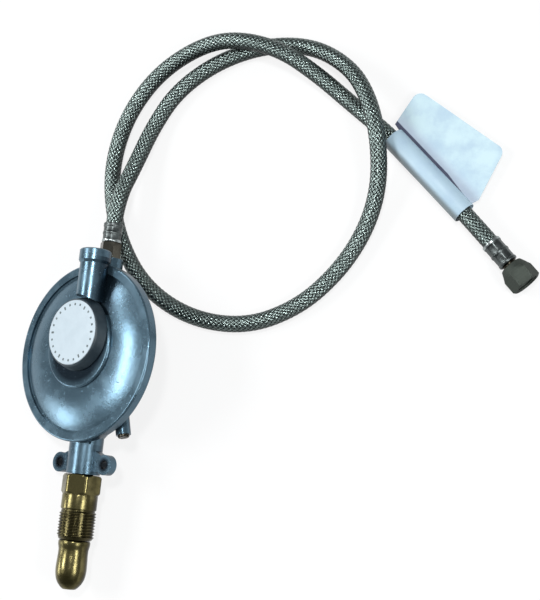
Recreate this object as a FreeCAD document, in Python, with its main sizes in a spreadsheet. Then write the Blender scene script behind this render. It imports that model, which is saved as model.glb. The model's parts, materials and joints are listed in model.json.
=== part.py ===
import FreeCAD, Part
import Sketcher
import math
import os

# A low pressure regulator for bottled gas with its braided hose.
#
# The regulator is drawn in its own frame: X across the disc, Y along the gas passage from
# the bottle to the hose, Z out of the cover, with Z = 0 where cover and body meet.
# It is then laid on the floor as it rests by itself: on the back of its passage and on the
# left edge of its rim. The hose lies on the floor beside it.

Vector = FreeCAD.Vector
Placement = FreeCAD.Placement
Rotation = FreeCAD.Rotation

doc = FreeCAD.newDocument("regulator_hose")

# Every driving size in millimetres or degrees: alias, value, meaning.
DRIVING_SIZES = [
    ("rim_radius", 56.0, "outside of the rolled rim"),
    ("rim_half", 3.5, "rim height above and below the joint face"),
    ("rim_round", 1.2, "rounding of the rim's two edges"),
    ("rim_wall", 2.7, "wall of the rim around the cover"),
    ("lip_reach", 2.8, "how far the rolled lip covers the cover's edge"),
    ("lip_thick", 1.2, "thickness of the rolled lip"),
    ("notch_count", 36, "crimp marks round the back of the rim"),
    ("notch_radius", 1.6, "radius of one crimp mark"),
    ("seal_thick", 0.8, "thickness of the diaphragm"),
    ("chamber_inset", 10.0, "diaphragm chamber inside the rim"),
    ("chamber_floor", 5.0, "depth of the chamber below the joint face"),
    ("bowl_depth", 12.0, "back of the bowl below the joint face"),
    ("axis_drop", 9.5, "gas passage below the joint face"),
    ("barrel_radius", 17.5, "barrel that houses the valve"),
    ("barrel_front", 38.0, "end of the barrel towards the outlet"),
    ("barrel_back", 42.0, "end of the barrel towards the inlet"),
    ("neck_radius", 10.5, "inlet neck"),
    ("neck_end", 74.7, "face of the inlet neck"),
    ("outlet_radius", 9.0, "outlet boss"),
    ("outlet_end", 61.5, "face of the outlet boss"),
    ("rib_thick", 2.4, "ribs on the back"),
    ("rib_count", 10, "ribs on the back"),
    ("ear_span", 39.0, "distance between the two ear holes"),
    ("ear_place", 68.2, "ear holes from the centre"),
    ("ear_radius", 6.2, "round end of an ear"),
    ("ear_thick", 5.0, "thickness of an ear"),
    ("ear_hole", 2.5, "radius of an ear hole"),
    ("well_half", 9.0, "half width of the valve well"),
    ("well_back", 19.0, "valve well towards the inlet"),
    ("well_front", 18.0, "valve well towards the outlet"),
    ("well_depth", 21.0, "valve well below the joint face"),
    ("inlet_thread", 6.8, "radius of the inlet thread"),
    ("inlet_thread_depth", 15.0, "depth of the inlet thread"),
    ("inlet_bore", 5.2, "radius of the inlet passage"),
    ("guide_start", 28.0, "start of the valve guide from the centre"),
    ("plunger_radius", 4.0, "radius of the valve plunger"),
    ("outlet_thread", 5.5, "radius of the outlet thread"),
    ("outlet_thread_depth", 12.0, "depth of the outlet thread"),
    ("outlet_bore", 3.5, "radius of the outlet passage"),
    ("running_gap", 0.05, "clearance of a sliding or turning fit"),
    ("fit_gap", 0.02, "clearance of a fixed fit"),
    ("loose_gap", 0.3, "clearance of a cover or cap"),
    ("tap_radius", 4.6, "boss of the test tap"),
    ("tap_length", 10.5, "length of the test tap's boss"),
    ("tap_screw", 2.6, "radius of the test tap's screw"),
    ("cover_thick", 2.2, "edge and wall of the cover"),
    ("dome_inset", 6.8, "foot of the dome inside the rim"),
    ("dome_top", 6.2, "height of the dome at the tower"),
    ("dome_curve", 62.0, "radius of the dome's curve"),
    ("ring_radius", 27.0, "step at the foot of the tower"),
    ("ring_shift", 3.5, "step off the centre"),
    ("ring_top", 8.2, "top of the step"),
    ("tower_radius", 19.3, "tower inside its cap"),
    ("tower_shift", 10.0, "tower off the centre, towards the outlet"),
    ("tower_side", 1.5, "tower off the centre, to the right"),
    ("tower_top", 13.8, "top of the tower"),
    ("spring_bore", 8.0, "bore for spring and screw"),
    ("cap_radius", 21.8, "outside of the tower cap"),
    ("cap_draft", 1.5, "how much wider the cap is at its foot"),
    ("cap_top", 15.6, "top of the tower cap"),
    ("cap_skin", 1.2, "top wall of the cap"),
    ("label_radius", 20.2, "round label"),
    ("label_thick", 0.6, "thickness of the label"),
    ("label_sink", 0.3, "how deep the label sits in the cap"),
    ("vent_side", 6.5, "vent tube to the right of the centre"),
    ("vent_height", 8.8, "vent tube above the joint face"),
    ("vent_radius", 8.9, "outside of the vent tube"),
    ("vent_collar", 10.0, "collar at the vent's mouth"),
    ("vent_collar_start", 55.6, "collar from the centre"),
    ("vent_end", 62.8, "mouth of the vent from the centre"),
    ("vent_port", 7.0, "radius of the vent's port"),
    ("vent_port_depth", 5.0, "depth of the vent's port"),
    ("vent_groove", 2.1, "widened stretch at the port's bottom"),
    ("vent_bore", 3.6, "radius of the vent's passage"),
    ("vent_drop", 42.0, "place of the hole down into the chamber"),
    ("screen_thick", 0.8, "thickness of the vent screen"),
    ("screw_low", 9.8, "underside of the adjusting screw"),
    ("screw_high", 13.2, "top of the adjusting screw"),
    ("screw_socket", 8.0, "hexagon socket across flats"),
    ("seat_thick", 1.1, "thickness of the spring seat"),
    ("spring_radius", 6.4, "middle of the spring wire"),
    ("spring_wire", 1.5, "diameter of the spring wire"),
    ("spring_turns", 4.0, "turns of the spring"),
    ("plate_radius", 26.5, "plate on the diaphragm"),
    ("plate_thick", 1.0, "thickness of the plate"),
    ("bead_place", 38.0, "middle of the diaphragm's fold"),
    ("bead_half", 4.0, "half width of the fold"),
    ("bead_depth", 1.6, "depth of the fold"),
    ("stem_radius", 2.0, "stem of the diaphragm"),
    ("stem_collar", 3.6, "collars that hold the lever"),
    ("lever_drop", 16.0, "lever pin below the joint face"),
    ("lever_place", 14.5, "lever pin from the centre"),
    ("lever_thick", 1.4, "lever plate"),
    ("lever_width", 8.0, "width of the lever"),
    ("fork_gap", 3.0, "room for the lever between the collars"),
    ("pin_radius", 1.5, "lever pin"),
    ("pin_length", 22.0, "lever pin"),
    ("nozzle_tip", 25.0, "tip of the inlet seat from the centre"),
    ("valve_gap", 1.0, "opening of the valve at rest"),
    ("pad_radius", 3.2, "rubber pad of the valve"),
    ("pad_thick", 1.4, "rubber pad of the valve"),
    ("plunger_back", 10.5, "rear end of the plunger from the centre"),
    ("nut_start", 0.4, "gap between neck and bottle nut"),
    ("nut_hex", 22.0, "bottle nut across flats"),
    ("nut_hex_length", 12.2, "length of the nut's hexagon"),
    ("nut_shank", 10.9, "plain stretch of the nut"),
    ("nut_shank_length", 9.2, "plain stretch of the nut"),
    ("nut_thread", 11.24, "radius of the nut's thread"),
    ("nut_thread_length", 18.6, "length of the nut's thread"),
    ("nut_bore", 6.6, "bore of the nut"),
    ("nose_shoulder", 9.8, "shoulder of the nose"),
    ("nose_waist", 9.1, "waist of the nose"),
    ("nose_bulb", 9.5, "thickest place of the nose"),
    ("nose_length", 29.2, "nose beyond the nut"),
    ("nose_bore", 2.8, "gas bore of the nose"),
    ("outlet_hex", 12.0, "outlet nipple across flats"),
    ("outlet_hex_length", 10.5, "length of the outlet hexagon"),
    ("hose_radius", 5.3, "outside of the braided hose"),
    ("hose_bore", 3.0, "bore of the hose"),
    ("ferrule_radius", 6.2, "crimped ferrules"),
    ("ferrule_wall", 2.0, "end wall of a ferrule"),
    ("near_grip", 9.0, "hose inside the near ferrule"),
    ("far_grip", 13.3, "hose inside the far ferrule"),
    ("tail_bore", 1.9, "bore of the hose tails"),
    ("far_nut_hex", 17.0, "far nut across flats"),
    ("far_nut_length", 15.0, "length of the far nut"),
    ("far_nut_gap", 1.5, "far nut beyond the far ferrule"),
    ("far_nut_thread", 6.6, "radius of the far nut's thread"),
    ("far_nut_neck", 4.9, "hole in the far nut's end wall"),
    ("far_nut_wall", 3.4, "end wall of the far nut"),
    ("far_nut_relief", 8.0, "start of the far nut's thread"),
    ("far_nut_slope", 6.8, "radius of the far nut's narrow end"),
    ("tag_radius", 7.5, "outside of the tag's sleeve"),
    ("tag_wall", 0.6, "film of the tag"),
    ("tag_length", 66.5, "length of the tag's sleeve"),
    ("tag_height", 7.6, "middle of the sleeve over the floor"),
]

# The hose's route over the floor, chosen by hand from the outlet to the far ferrule:
# up and away, over its own return, round the loop, over itself again and out to the right.
# The first point comes from the outlet. X, Y, Z in millimetres in the finished frame.
ROUTE = [
    (3.96, 129.0, 17.5),
    (11.0, 156.0, 10.0),
    (18.2, 183.0, 5.4),
    (32.0, 208.5, 5.4),
    (58.0, 229.5, 5.4),
    (90.0, 241.0, 5.4),
    (122.0, 239.5, 7.5),
    (148.0, 223.0, 13.5),
    (162.0, 201.5, 18.4),
    (170.0, 176.0, 18.4),
    (172.0, 147.0, 10.0),
    (165.0, 119.0, 5.4),
    (150.0, 92.0, 5.4),
    (127.0, 68.5, 5.4),
    (94.5, 54.2, 5.4),
    (56.5, 57.8, 5.4),
    (23.5, 77.3, 5.4),
    (2.8, 109.0, 5.4),
    (-6.0, 142.0, 5.4),
    (-5.5, 170.5, 5.4),
    (3.0, 198.0, 5.4),
    (20.5, 222.5, 6.5),
    (48.0, 238.0, 12.0),
    (73.0, 240.5, 17.2),
    (102.0, 233.5, 17.2),
    (126.5, 219.0, 11.0),
    (150.0, 201.0, 6.2),
    (175.0, 181.5, 6.1),
    (200.0, 157.5, 6.2),
    (226.0, 131.5, 8.5),
    (251.0, 105.0, 8.5),
]
TAG_START = Vector(177.7, 179.1, 0)
TAG_END = Vector(225.1, 132.5, 0)


class Size(float):
    """A number that remembers the sheet formula it was worked out from."""

    def __new__(cls, value, formula):
        size = float.__new__(cls, value)
        size.formula = formula
        return size

    def combine(self, other, sign, swap=False):
        first, second = (other, self) if swap else (self, other)
        a, b = float(first), float(second)
        value = {"+": a + b, "-": a - b, "*": a * b, "/": a / b if b else 0.0}[sign]
        return Size(value, "(%s %s %s)" % (formula_of(first), sign, formula_of(second)))

    def __add__(self, other):
        return self.combine(other, "+")

    def __radd__(self, other):
        return self.combine(other, "+", swap=True)

    def __sub__(self, other):
        return self.combine(other, "-")

    def __rsub__(self, other):
        return self.combine(other, "-", swap=True)

    def __mul__(self, other):
        return self.combine(other, "*")

    def __rmul__(self, other):
        return self.combine(other, "*", swap=True)

    def __truediv__(self, other):
        return self.combine(other, "/")

    def __neg__(self):
        return self.combine(0.0, "-", swap=True)


def formula_of(value):
    return value.formula if isinstance(value, Size) else repr(float(value))


class Sizes:
    """The driving sizes, one attribute each, kept in the document's sheet."""

    def __init__(self, rows):
        sheet = doc.addObject("Spreadsheet::Sheet", "Sizes")
        for line, (alias, value, meaning) in enumerate(rows, start=1):
            sheet.set("A%d" % line, meaning)
            sheet.set("B%d" % line, str(value))
            sheet.setAlias("B%d" % line, alias)
        doc.recompute()
        for alias, value, meaning in rows:
            setattr(self, alias, Size(sheet.get(alias), "Sizes." + alias))


d = Sizes(DRIVING_SIZES)


def bind(thing, **values):
    """Sets properties, and ties those that come from the sheet to their formula."""
    for name, value in values.items():
        setattr(thing, name, float(value) if isinstance(value, Size) else value)
        if isinstance(value, Size):
            thing.setExpression(name, value.formula)


def new_body(name):
    body = doc.addObject("PartDesign::Body", name)
    body.Label = name
    return body


def new_sketch(body, plane, name, lift=0.0):
    """A sketch on one of the body's own planes, lifted along the plane's normal."""
    sketch = body.newObject("Sketcher::SketchObject", name)
    support = [f for f in body.Origin.OriginFeatures if f.Role == plane][0]
    sketch.AttachmentSupport = [(support, "")]
    sketch.MapMode = "FlatFace"
    sketch.AttachmentOffset = Placement(Vector(0, 0, float(lift)), Rotation())
    if isinstance(lift, Size):
        sketch.setExpression("AttachmentOffset.Base.z", lift.formula)
    return sketch


def hold(sketch, geometry, point, x, y):
    """Holds one point of a sketch at its two distances from the sketch's origin."""
    for kind, axis, value in (("DistanceX", -2, x), ("DistanceY", -1, y)):
        if not isinstance(value, Size) and value == 0:
            sketch.addConstraint(Sketcher.Constraint("PointOnObject", geometry, point, axis))
            continue
        rule = Sketcher.Constraint(kind, -1, 1, geometry, point, float(value))
        index = sketch.addConstraint(rule)
        if isinstance(value, Size):
            sketch.setExpression("Constraints[%d]" % index, value.formula)


def add_outline(sketch, points):
    """A closed outline. A third value in a point bends the line after it to that radius:
    positive bulges to the right of the direction of travel, negative to the left."""
    first = sketch.GeometryCount
    count = len(points)
    for i, point in enumerate(points):
        after = points[(i + 1) % count]
        a = Vector(float(point[0]), float(point[1]), 0)
        b = Vector(float(after[0]), float(after[1]), 0)
        if len(point) == 2:
            sketch.addGeometry(Part.LineSegment(a, b))
            continue
        radius = float(point[2])
        chord = b - a
        side = Vector(chord.y, -chord.x, 0).normalize()
        rise = abs(radius) - math.sqrt(radius**2 - (chord.Length / 2) ** 2)
        middle = (a + b) * 0.5 + side * math.copysign(rise, radius)
        sketch.addGeometry(Part.Arc(a, middle, b))
    starts, ends = [], []
    for i, point in enumerate(points):
        wanted = Vector(float(point[0]), float(point[1]), 0)
        at_one = sketch.getPoint(first + i, 1).distanceToPoint(wanted) < 1e-6
        starts.append(1 if at_one else 2)
        ends.append(2 if at_one else 1)
    for i, point in enumerate(points):
        after = (i + 1) % count
        rule = Sketcher.Constraint("Coincident", first + i, ends[i], first + after, starts[after])
        sketch.addConstraint(rule)
    for i, point in enumerate(points):
        hold(sketch, first + i, starts[i], point[0], point[1])
        if len(point) == 3:
            size = point[2] if float(point[2]) > 0 else 0 - point[2]
            index = sketch.addConstraint(Sketcher.Constraint("Radius", first + i, float(size)))
            if isinstance(size, Size):
                sketch.setExpression("Constraints[%d]" % index, size.formula)


def add_circle(sketch, x, y, radius):
    centre = Vector(float(x), float(y), 0)
    index = sketch.addGeometry(Part.Circle(centre, Vector(0, 0, 1), float(radius)))
    if x == 0 and y == 0 and not isinstance(x, Size) and not isinstance(y, Size):
        sketch.addConstraint(Sketcher.Constraint("Coincident", index, 3, -1, 1))
    else:
        hold(sketch, index, 3, x, y)
    rule = sketch.addConstraint(Sketcher.Constraint("Radius", index, float(radius)))
    if isinstance(radius, Size):
        sketch.setExpression("Constraints[%d]" % rule, radius.formula)


def add_polygon(sketch, across_flats, sides=6, x=0.0, y=0.0):
    """A regular polygon with one flat facing the sketch's right."""
    corner = across_flats / (2 * math.cos(math.pi / sides))
    points = []
    for i in range(sides):
        angle = math.pi / sides * (2 * i + 1)
        points.append((corner * math.cos(angle) + x, corner * math.sin(angle) + y))
    add_outline(sketch, points)


def revolve(body, sketch, cut=False, axis="V_Axis"):
    kind = "PartDesign::Groove" if cut else "PartDesign::Revolution"
    feature = body.newObject(kind, sketch.Name + "_turned")
    feature.Profile = sketch
    feature.ReferenceAxis = (sketch, [axis])
    feature.Angle = 360
    return feature


def pad(body, sketch, length, reverse=False, middle=False):
    feature = body.newObject("PartDesign::Pad", sketch.Name + "_pad")
    feature.Profile = sketch
    bind(feature, Length=length, Reversed=reverse, Midplane=middle)
    return feature


def pocket(body, sketch, length, reverse=False, middle=False):
    feature = body.newObject("PartDesign::Pocket", sketch.Name + "_cut")
    feature.Profile = sketch
    bind(feature, Length=length, Reversed=reverse, Midplane=middle)
    return feature


def ring_copies(body, feature, count):
    """Copies of a feature round the body's Z axis."""
    pattern = body.newObject("PartDesign::PolarPattern", feature.Name + "_ring")
    pattern.Originals = [feature]
    axis = [f for f in body.Origin.OriginFeatures if f.Role == "Z_Axis"][0]
    pattern.Axis = (axis, [""])
    pattern.Angle = 360
    bind(pattern, Occurrences=int(count))
    pattern.setExpression("Occurrences", count.formula)
    body.Tip = pattern
    return pattern


def turned(name, points):
    """A piece turned on a lathe: its outline revolved about Z."""
    body = new_body(name)
    sketch = new_sketch(body, "XZ_Plane", name + "_outline")
    add_outline(sketch, points)
    revolve(body, sketch)
    return body


def round_off(body, radius, chosen):
    """Rounds the edges of the body's last feature that a test picks."""
    doc.recompute()
    base = body.Tip
    names = []
    for i, edge in enumerate(base.Shape.Edges, start=1):
        if chosen(edge):
            names.append("Edge%d" % i)
    feature = body.newObject("PartDesign::Fillet", base.Name + "_round")
    feature.Base = (base, names)
    bind(feature, Radius=radius)
    return feature


def is_ring(edge, radius, height, x=0.0, y=0.0):
    """Whether an edge is a full circle round Z of this radius, at this height."""
    curve = edge.Curve
    if not isinstance(curve, Part.Circle) or abs(curve.Radius - radius) > 1e-4:
        return False
    place = Vector(float(x), float(y), float(height))
    return curve.Center.distanceToPoint(place) < 1e-4


# How the regulator lies: the tilt at which rim and barrel both touch the floor.
def resting_tilt():
    reach = d.rim_radius - d.rim_round
    drop = d.axis_drop - (d.rim_half - d.rim_round)
    rise = d.barrel_radius - d.rim_round
    lean = math.asin(rise / math.hypot(reach, drop)) + math.atan2(drop, reach)
    return math.degrees(lean)


TILT = resting_tilt()
NEAR_STOP = d.outlet_end + d.outlet_hex_length + 2 * d.ferrule_wall
MIDDLE_Y = 28.9
AXIS_HEIGHT = float(d.barrel_radius)
JOINT_HEIGHT = AXIS_HEIGHT + d.axis_drop * math.cos(math.radians(TILT))
REGULATOR = Placement(Vector(0, MIDDLE_Y, JOINT_HEIGHT), Rotation(Vector(0, 1, 0), -TILT))


def on_cover(x=0.0, y=0.0, z=0.0):
    """A piece whose own Z points out of the cover."""
    return REGULATOR.multiply(Placement(Vector(float(x), float(y), float(z)), Rotation()))


def towards_outlet(y):
    """A piece on the gas passage whose own Z points at the hose."""
    turn = Rotation(Vector(1, 0, 0), -90)
    return REGULATOR.multiply(Placement(Vector(0, float(y), -float(d.axis_drop)), turn))


def towards_inlet(y):
    """A piece on the gas passage whose own Z points at the bottle."""
    turn = Rotation(Vector(1, 0, 0), 90)
    return REGULATOR.multiply(Placement(Vector(0, -float(y), -float(d.axis_drop)), turn))


def far_frame():
    """The far fitting: Z along the hose's last run, X down, so that a flat faces the floor."""
    end = Vector(*ROUTE[-1])
    along = (end - Vector(*ROUTE[-2])).normalize()
    down = Vector(0, 0, -1)
    return Placement(end, Rotation(down, along.cross(down), along, "ZXY"))


def make_lower_body():
    """The casting behind the diaphragm: bowl, barrel, neck with ears, outlet and rolled rim."""
    body = new_body("lower_body")
    low, high = -d.rim_half, d.rim_half
    chamber_radius = d.rim_radius - d.chamber_inset
    bowl = new_sketch(body, "XZ_Plane", "bowl")
    add_outline(bowl, [
        (0, low - 0.5),
        (0, -d.bowl_depth),
        (30.0, 2.5 - d.bowl_depth),
        (chamber_radius - 1.0, low - 2.0),
        (d.rim_radius - 6.0, low),
        (d.rim_radius - d.rim_round, low, d.rim_round),
        (d.rim_radius, low + d.rim_round),
        (d.rim_radius, high - d.rim_round, d.rim_round),
        (d.rim_radius - d.rim_round, high),
        (d.rim_radius - d.rim_wall - d.lip_reach, high),
        (d.rim_radius - d.rim_wall - d.lip_reach, low + 1.0),
    ])
    revolve(body, bowl)

    rib = new_sketch(body, "XZ_Plane", "rib")
    add_outline(rib, [
        (14.0, -d.chamber_floor - 3.0),
        (d.rim_radius - 7.0, low + 0.4),
        (d.rim_radius - 7.0, low - 0.6),
        (24.0, -d.bowl_depth - 1.6),
        (14.0, -d.bowl_depth - 1.6),
    ])
    ring_copies(body, pad(body, rib, d.rib_thick, middle=True), d.rib_count)

    axis = -d.axis_drop
    spine = new_sketch(body, "YZ_Plane", "spine")
    add_outline(spine, [
        (-d.neck_end, axis),
        (-d.neck_end, axis - d.neck_radius),
        (-d.barrel_back - 10.0, axis - d.neck_radius),
        (-d.barrel_back, axis - d.barrel_radius),
        (d.barrel_front, axis - d.barrel_radius),
        (d.barrel_front + 9.0, axis - d.outlet_radius),
        (d.outlet_end, axis - d.outlet_radius),
        (d.outlet_end, axis),
    ])
    add_axis_line(spine, axis)
    revolve(body, spine, axis="Axis0")
    add_ears(body, axis)
    add_tap_boss(body)
    cut_chamber(body)
    cut_passage(body, axis)
    cut_crimp_marks(body)
    body.Placement = on_cover()
    return body


def add_axis_line(sketch, height):
    """A construction line along the sketch's X at a height, to turn a profile about."""
    a, b = Vector(-10, float(height), 0), Vector(10, float(height), 0)
    index = sketch.addGeometry(Part.LineSegment(a, b), True)
    hold(sketch, index, 1, -10.0, height)
    hold(sketch, index, 2, 10.0, height)


def add_ears(body, axis):
    """Two ears with holes on either side of the neck."""
    half = d.ear_span / 2
    web = new_sketch(body, "XY_Plane", "ear_web", lift=axis)
    add_outline(web, [
        (-half, -d.ear_place - 4.6),
        (half, -d.ear_place - 4.6),
        (half, -d.ear_place + 4.0),
        (d.neck_radius - 0.5, -d.ear_place + 8.5),
        (0.5 - d.neck_radius, -d.ear_place + 8.5),
        (-half, -d.ear_place + 4.0),
    ])
    pad(body, web, d.ear_thick, middle=True)
    lobes = new_sketch(body, "XY_Plane", "ear_lobes", lift=axis)
    holes = new_sketch(body, "XY_Plane", "ear_holes", lift=axis)
    for side in (-1, 1):
        add_circle(lobes, side * half, -d.ear_place, d.ear_radius)
        add_circle(holes, side * half, -d.ear_place, d.ear_hole)
    pad(body, lobes, d.ear_thick, middle=True)
    pocket(body, holes, d.ear_thick + 2.0, middle=True)


TAP_PLACE = (25.3, -31.5, -10.0)
TAP_LEAN = 16.0


def tap_frame():
    """The test tap's screw: Z out of its boss, which points past the rim beside the neck."""
    turn = Rotation(Vector(0, 0, 1), TAP_LEAN).multiply(Rotation(Vector(1, 0, 0), 90))
    return Placement(Vector(*TAP_PLACE), turn)


def add_tap_boss(body):
    sketch = new_sketch(body, "XY_Plane", "tap_boss")
    sketch.AttachmentSupport = None
    sketch.MapMode = "Deactivated"
    sketch.Placement = tap_frame()
    add_circle(sketch, 0, 0, d.tap_radius)
    pad(body, sketch, d.tap_length + 8.0)
    hole = new_sketch(body, "XY_Plane", "tap_hole")
    hole.AttachmentSupport = None
    hole.MapMode = "Deactivated"
    hole.Placement = tap_frame()
    add_circle(hole, 0, 0, d.tap_screw)
    deep = pocket(body, hole, d.tap_length + 8.0, reverse=True)
    return deep


def cut_chamber(body):
    """The diaphragm's chamber, the ledge that clamps it and the room under the rolled lip."""
    ledge = d.rim_radius - d.rim_wall
    mouth = ledge - d.lip_reach
    chamber_radius = d.rim_radius - d.chamber_inset
    chamber = new_sketch(body, "XZ_Plane", "chamber")
    under_lip = d.rim_half - d.lip_thick
    add_outline(chamber, [
        (0, -d.chamber_floor),
        (30.0, -d.chamber_floor),
        (chamber_radius, -d.seal_thick - 1.4),
        (chamber_radius, -d.seal_thick),
        (ledge, -d.seal_thick),
        (ledge, under_lip),
        (mouth, under_lip),
        (mouth, d.barrel_radius),
        (0, d.barrel_radius),
    ])
    revolve(body, chamber, cut=True)
    well = new_sketch(body, "XY_Plane", "well", lift=-d.well_depth)
    add_outline(well, [
        (-d.well_half, -d.well_back),
        (d.well_half, -d.well_back),
        (d.well_half, d.well_front),
        (-d.well_half, d.well_front),
    ])
    pocket(body, well, d.well_depth - d.chamber_floor + 3.0, reverse=True)


def cut_passage(body, axis):
    """The stepped gas passage from the inlet thread to the outlet thread."""
    passage = new_sketch(body, "YZ_Plane", "passage")
    guide = d.plunger_radius + d.running_gap
    add_outline(passage, [
        (-d.neck_end, axis),
        (-d.neck_end, axis - d.inlet_thread),
        (d.inlet_thread_depth - d.neck_end, axis - d.inlet_thread),
        (d.inlet_thread_depth - d.neck_end, axis - d.inlet_bore),
        (-d.guide_start, axis - d.inlet_bore),
        (-d.guide_start, axis - guide),
        (1.0 - d.well_back, axis - guide),
        (1.0 - d.well_back, axis),
    ])
    add_axis_line(passage, axis)
    revolve(body, passage, cut=True, axis="Axis0")
    outlet = new_sketch(body, "YZ_Plane", "outlet_passage")
    shelf = d.outlet_end - d.outlet_thread_depth
    add_outline(outlet, [
        (d.well_front - 1.0, axis),
        (d.well_front - 1.0, axis - d.outlet_bore),
        (shelf, axis - d.outlet_bore),
        (shelf, axis - d.outlet_thread),
        (d.outlet_end, axis - d.outlet_thread),
        (d.outlet_end, axis),
    ])
    add_axis_line(outlet, axis)
    revolve(body, outlet, cut=True, axis="Axis0")
    pin_hole = new_sketch(body, "YZ_Plane", "pin_hole")
    add_circle(pin_hole, -d.lever_place, -d.lever_drop, d.pin_radius + d.fit_gap)
    pocket(body, pin_hole, d.pin_length, middle=True)


def cut_crimp_marks(body):
    """The crimp marks round the back edge of the rolled rim."""
    mark = new_sketch(body, "XZ_Plane", "crimp_mark")
    add_outline(mark, [
        (d.rim_radius - d.rim_round, -d.rim_half - 1.0),
        (d.rim_radius + 1.0, -d.rim_half - 1.0),
        (d.rim_radius + 1.0, -d.rim_half + 2.4),
    ])
    ring_copies(body, pocket(body, mark, 2 * d.notch_radius, middle=True), d.notch_count)


def make_cover():
    """The domed cover with the tower for the spring and the vent tube."""
    body = new_body("cover")
    edge = d.rim_radius - d.rim_wall - 0.2
    dome_foot = d.rim_radius - d.dome_inset
    inside_step = d.dome_top - 1.0
    dome = new_sketch(body, "XZ_Plane", "dome")
    add_outline(dome, [
        (0, 0),
        (edge, 0),
        (edge, d.cover_thick),
        (dome_foot, d.cover_thick, d.dome_curve),
        (d.ring_radius, d.dome_top),
        (0, d.dome_top),
    ])
    revolve(body, dome)
    ring = new_sketch(body, "XY_Plane", "tower_step", lift=inside_step - 2.0)
    add_circle(ring, 0, d.ring_shift, d.ring_radius)
    pad(body, ring, d.ring_top - inside_step + 2.0)
    top = d.ring_top
    round_off(body, 1.4, lambda e: is_ring(e, d.ring_radius, top, y=d.ring_shift))
    tower = new_sketch(body, "XY_Plane", "tower", lift=d.ring_top - 1.0)
    add_circle(tower, d.tower_side, d.tower_shift, d.tower_radius)
    pad(body, tower, d.tower_top - d.ring_top + 1.0)
    add_vent(body)
    cut_cap_room(body)
    cut_inside(body)
    cut_vent(body)
    body.Placement = on_cover()
    return body


def add_vent(body):
    """The vent tube runs from the tower over the rim and ends in a collar."""
    vent = new_sketch(body, "YZ_Plane", "vent_tube", lift=d.vent_side)
    axis = d.vent_height
    add_outline(vent, [
        (d.tower_shift + d.tower_radius + 0.5, axis),
        (d.tower_shift + d.tower_radius + 0.5, axis + d.vent_radius),
        (d.vent_collar_start - 1.7, axis + d.vent_radius),
        (d.vent_collar_start, axis + d.vent_collar),
        (d.vent_end - 0.8, axis + d.vent_collar),
        (d.vent_end, axis + d.vent_collar - 0.8),
        (d.vent_end, axis),
    ])
    add_axis_line(vent, axis)
    revolve(body, vent, axis="Axis0")
    rim = new_sketch(body, "XZ_Plane", "rim_room")
    ledge = d.rim_radius - d.rim_wall - 0.15
    over = d.rim_half + d.loose_gap
    dome_foot = d.rim_radius - d.dome_inset
    add_outline(rim, [
        (dome_foot + 0.8, d.cover_thick),
        (dome_foot + 0.8, over),
        (d.rim_radius + 2 * d.loose_gap, over),
        (d.rim_radius + 2 * d.loose_gap, -d.barrel_radius),
        (ledge, -d.barrel_radius),
        (ledge, d.cover_thick),
    ])
    revolve(body, rim, cut=True)


def cut_cap_room(body):
    """A ring of room round the tower for the cap's skirt."""
    room = new_sketch(body, "XY_Plane", "cap_room", lift=d.ring_top)
    add_circle(room, d.tower_side, d.tower_shift, d.cap_radius + d.cap_draft + 2 * d.loose_gap)
    add_circle(room, d.tower_side, d.tower_shift, d.tower_radius)
    pocket(body, room, d.vent_radius + d.vent_height, reverse=True)


def cut_inside(body):
    chamber_radius = d.rim_radius - d.chamber_inset
    inside = new_sketch(body, "XZ_Plane", "inside")
    add_outline(inside, [
        (0, -2.0),
        (d.rim_radius - d.rim_wall, -2.0),
        (d.rim_radius - d.rim_wall, 0),
        (chamber_radius, 0),
        (chamber_radius, 0.3),
        (d.ring_radius, d.dome_top - d.cover_thick - 0.6),
        (d.spring_bore, d.dome_top - d.cover_thick - 0.6),
        (d.spring_bore, d.tower_top + 1.0),
        (0, d.tower_top + 1.0),
    ])
    revolve(body, inside, cut=True)


def cut_vent(body):
    """The port in the collar, the passage behind it and the hole down into the chamber."""
    axis = d.vent_height
    bore = new_sketch(body, "YZ_Plane", "vent_bore", lift=d.vent_side)
    add_outline(bore, [
        (d.vent_drop, axis),
        (d.vent_drop, axis + d.vent_bore),
        (d.vent_end - d.vent_port_depth, axis + d.vent_bore),
        (d.vent_end - d.vent_port_depth, axis + d.vent_port + 0.3),
        (d.vent_end - d.vent_port_depth + d.vent_groove, axis + d.vent_port + 0.3),
        (d.vent_end - d.vent_port_depth + d.vent_groove, axis + d.vent_port),
        (d.vent_end, axis + d.vent_port),
        (d.vent_end, axis),
    ])
    add_axis_line(bore, axis)
    revolve(body, bore, cut=True, axis="Axis0")
    drop = new_sketch(body, "XY_Plane", "vent_hole", lift=axis)
    add_circle(drop, d.vent_side, d.vent_drop, 2.6)
    pocket(body, drop, axis + 1.0)


def make_tower_cap():
    top, low = d.cap_top, d.ring_top + d.loose_gap
    inner = d.tower_radius + d.loose_gap
    body = turned("tower_cap", [
        (0, top - d.cap_skin - d.label_sink),
        (inner, top - d.cap_skin - d.label_sink),
        (inner, low),
        (d.cap_radius + d.cap_draft, low),
        (d.cap_radius, top - 2.0),
        (d.cap_radius - 0.5, top - 0.8, 1.2),
        (d.cap_radius - 1.3, top),
        (d.label_radius + d.fit_gap, top),
        (d.label_radius + d.fit_gap, top - d.label_sink),
        (0, top - d.label_sink),
    ])
    body.Placement = on_cover(d.tower_side, d.tower_shift)
    return body


def make_label_disc():
    low = d.cap_top - d.label_sink
    body = turned("label_disc", [
        (0, low),
        (d.label_radius, low),
        (d.label_radius, low + d.label_thick),
        (0, low + d.label_thick),
    ])
    body.Placement = on_cover(d.tower_side, d.tower_shift)
    return body


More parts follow.
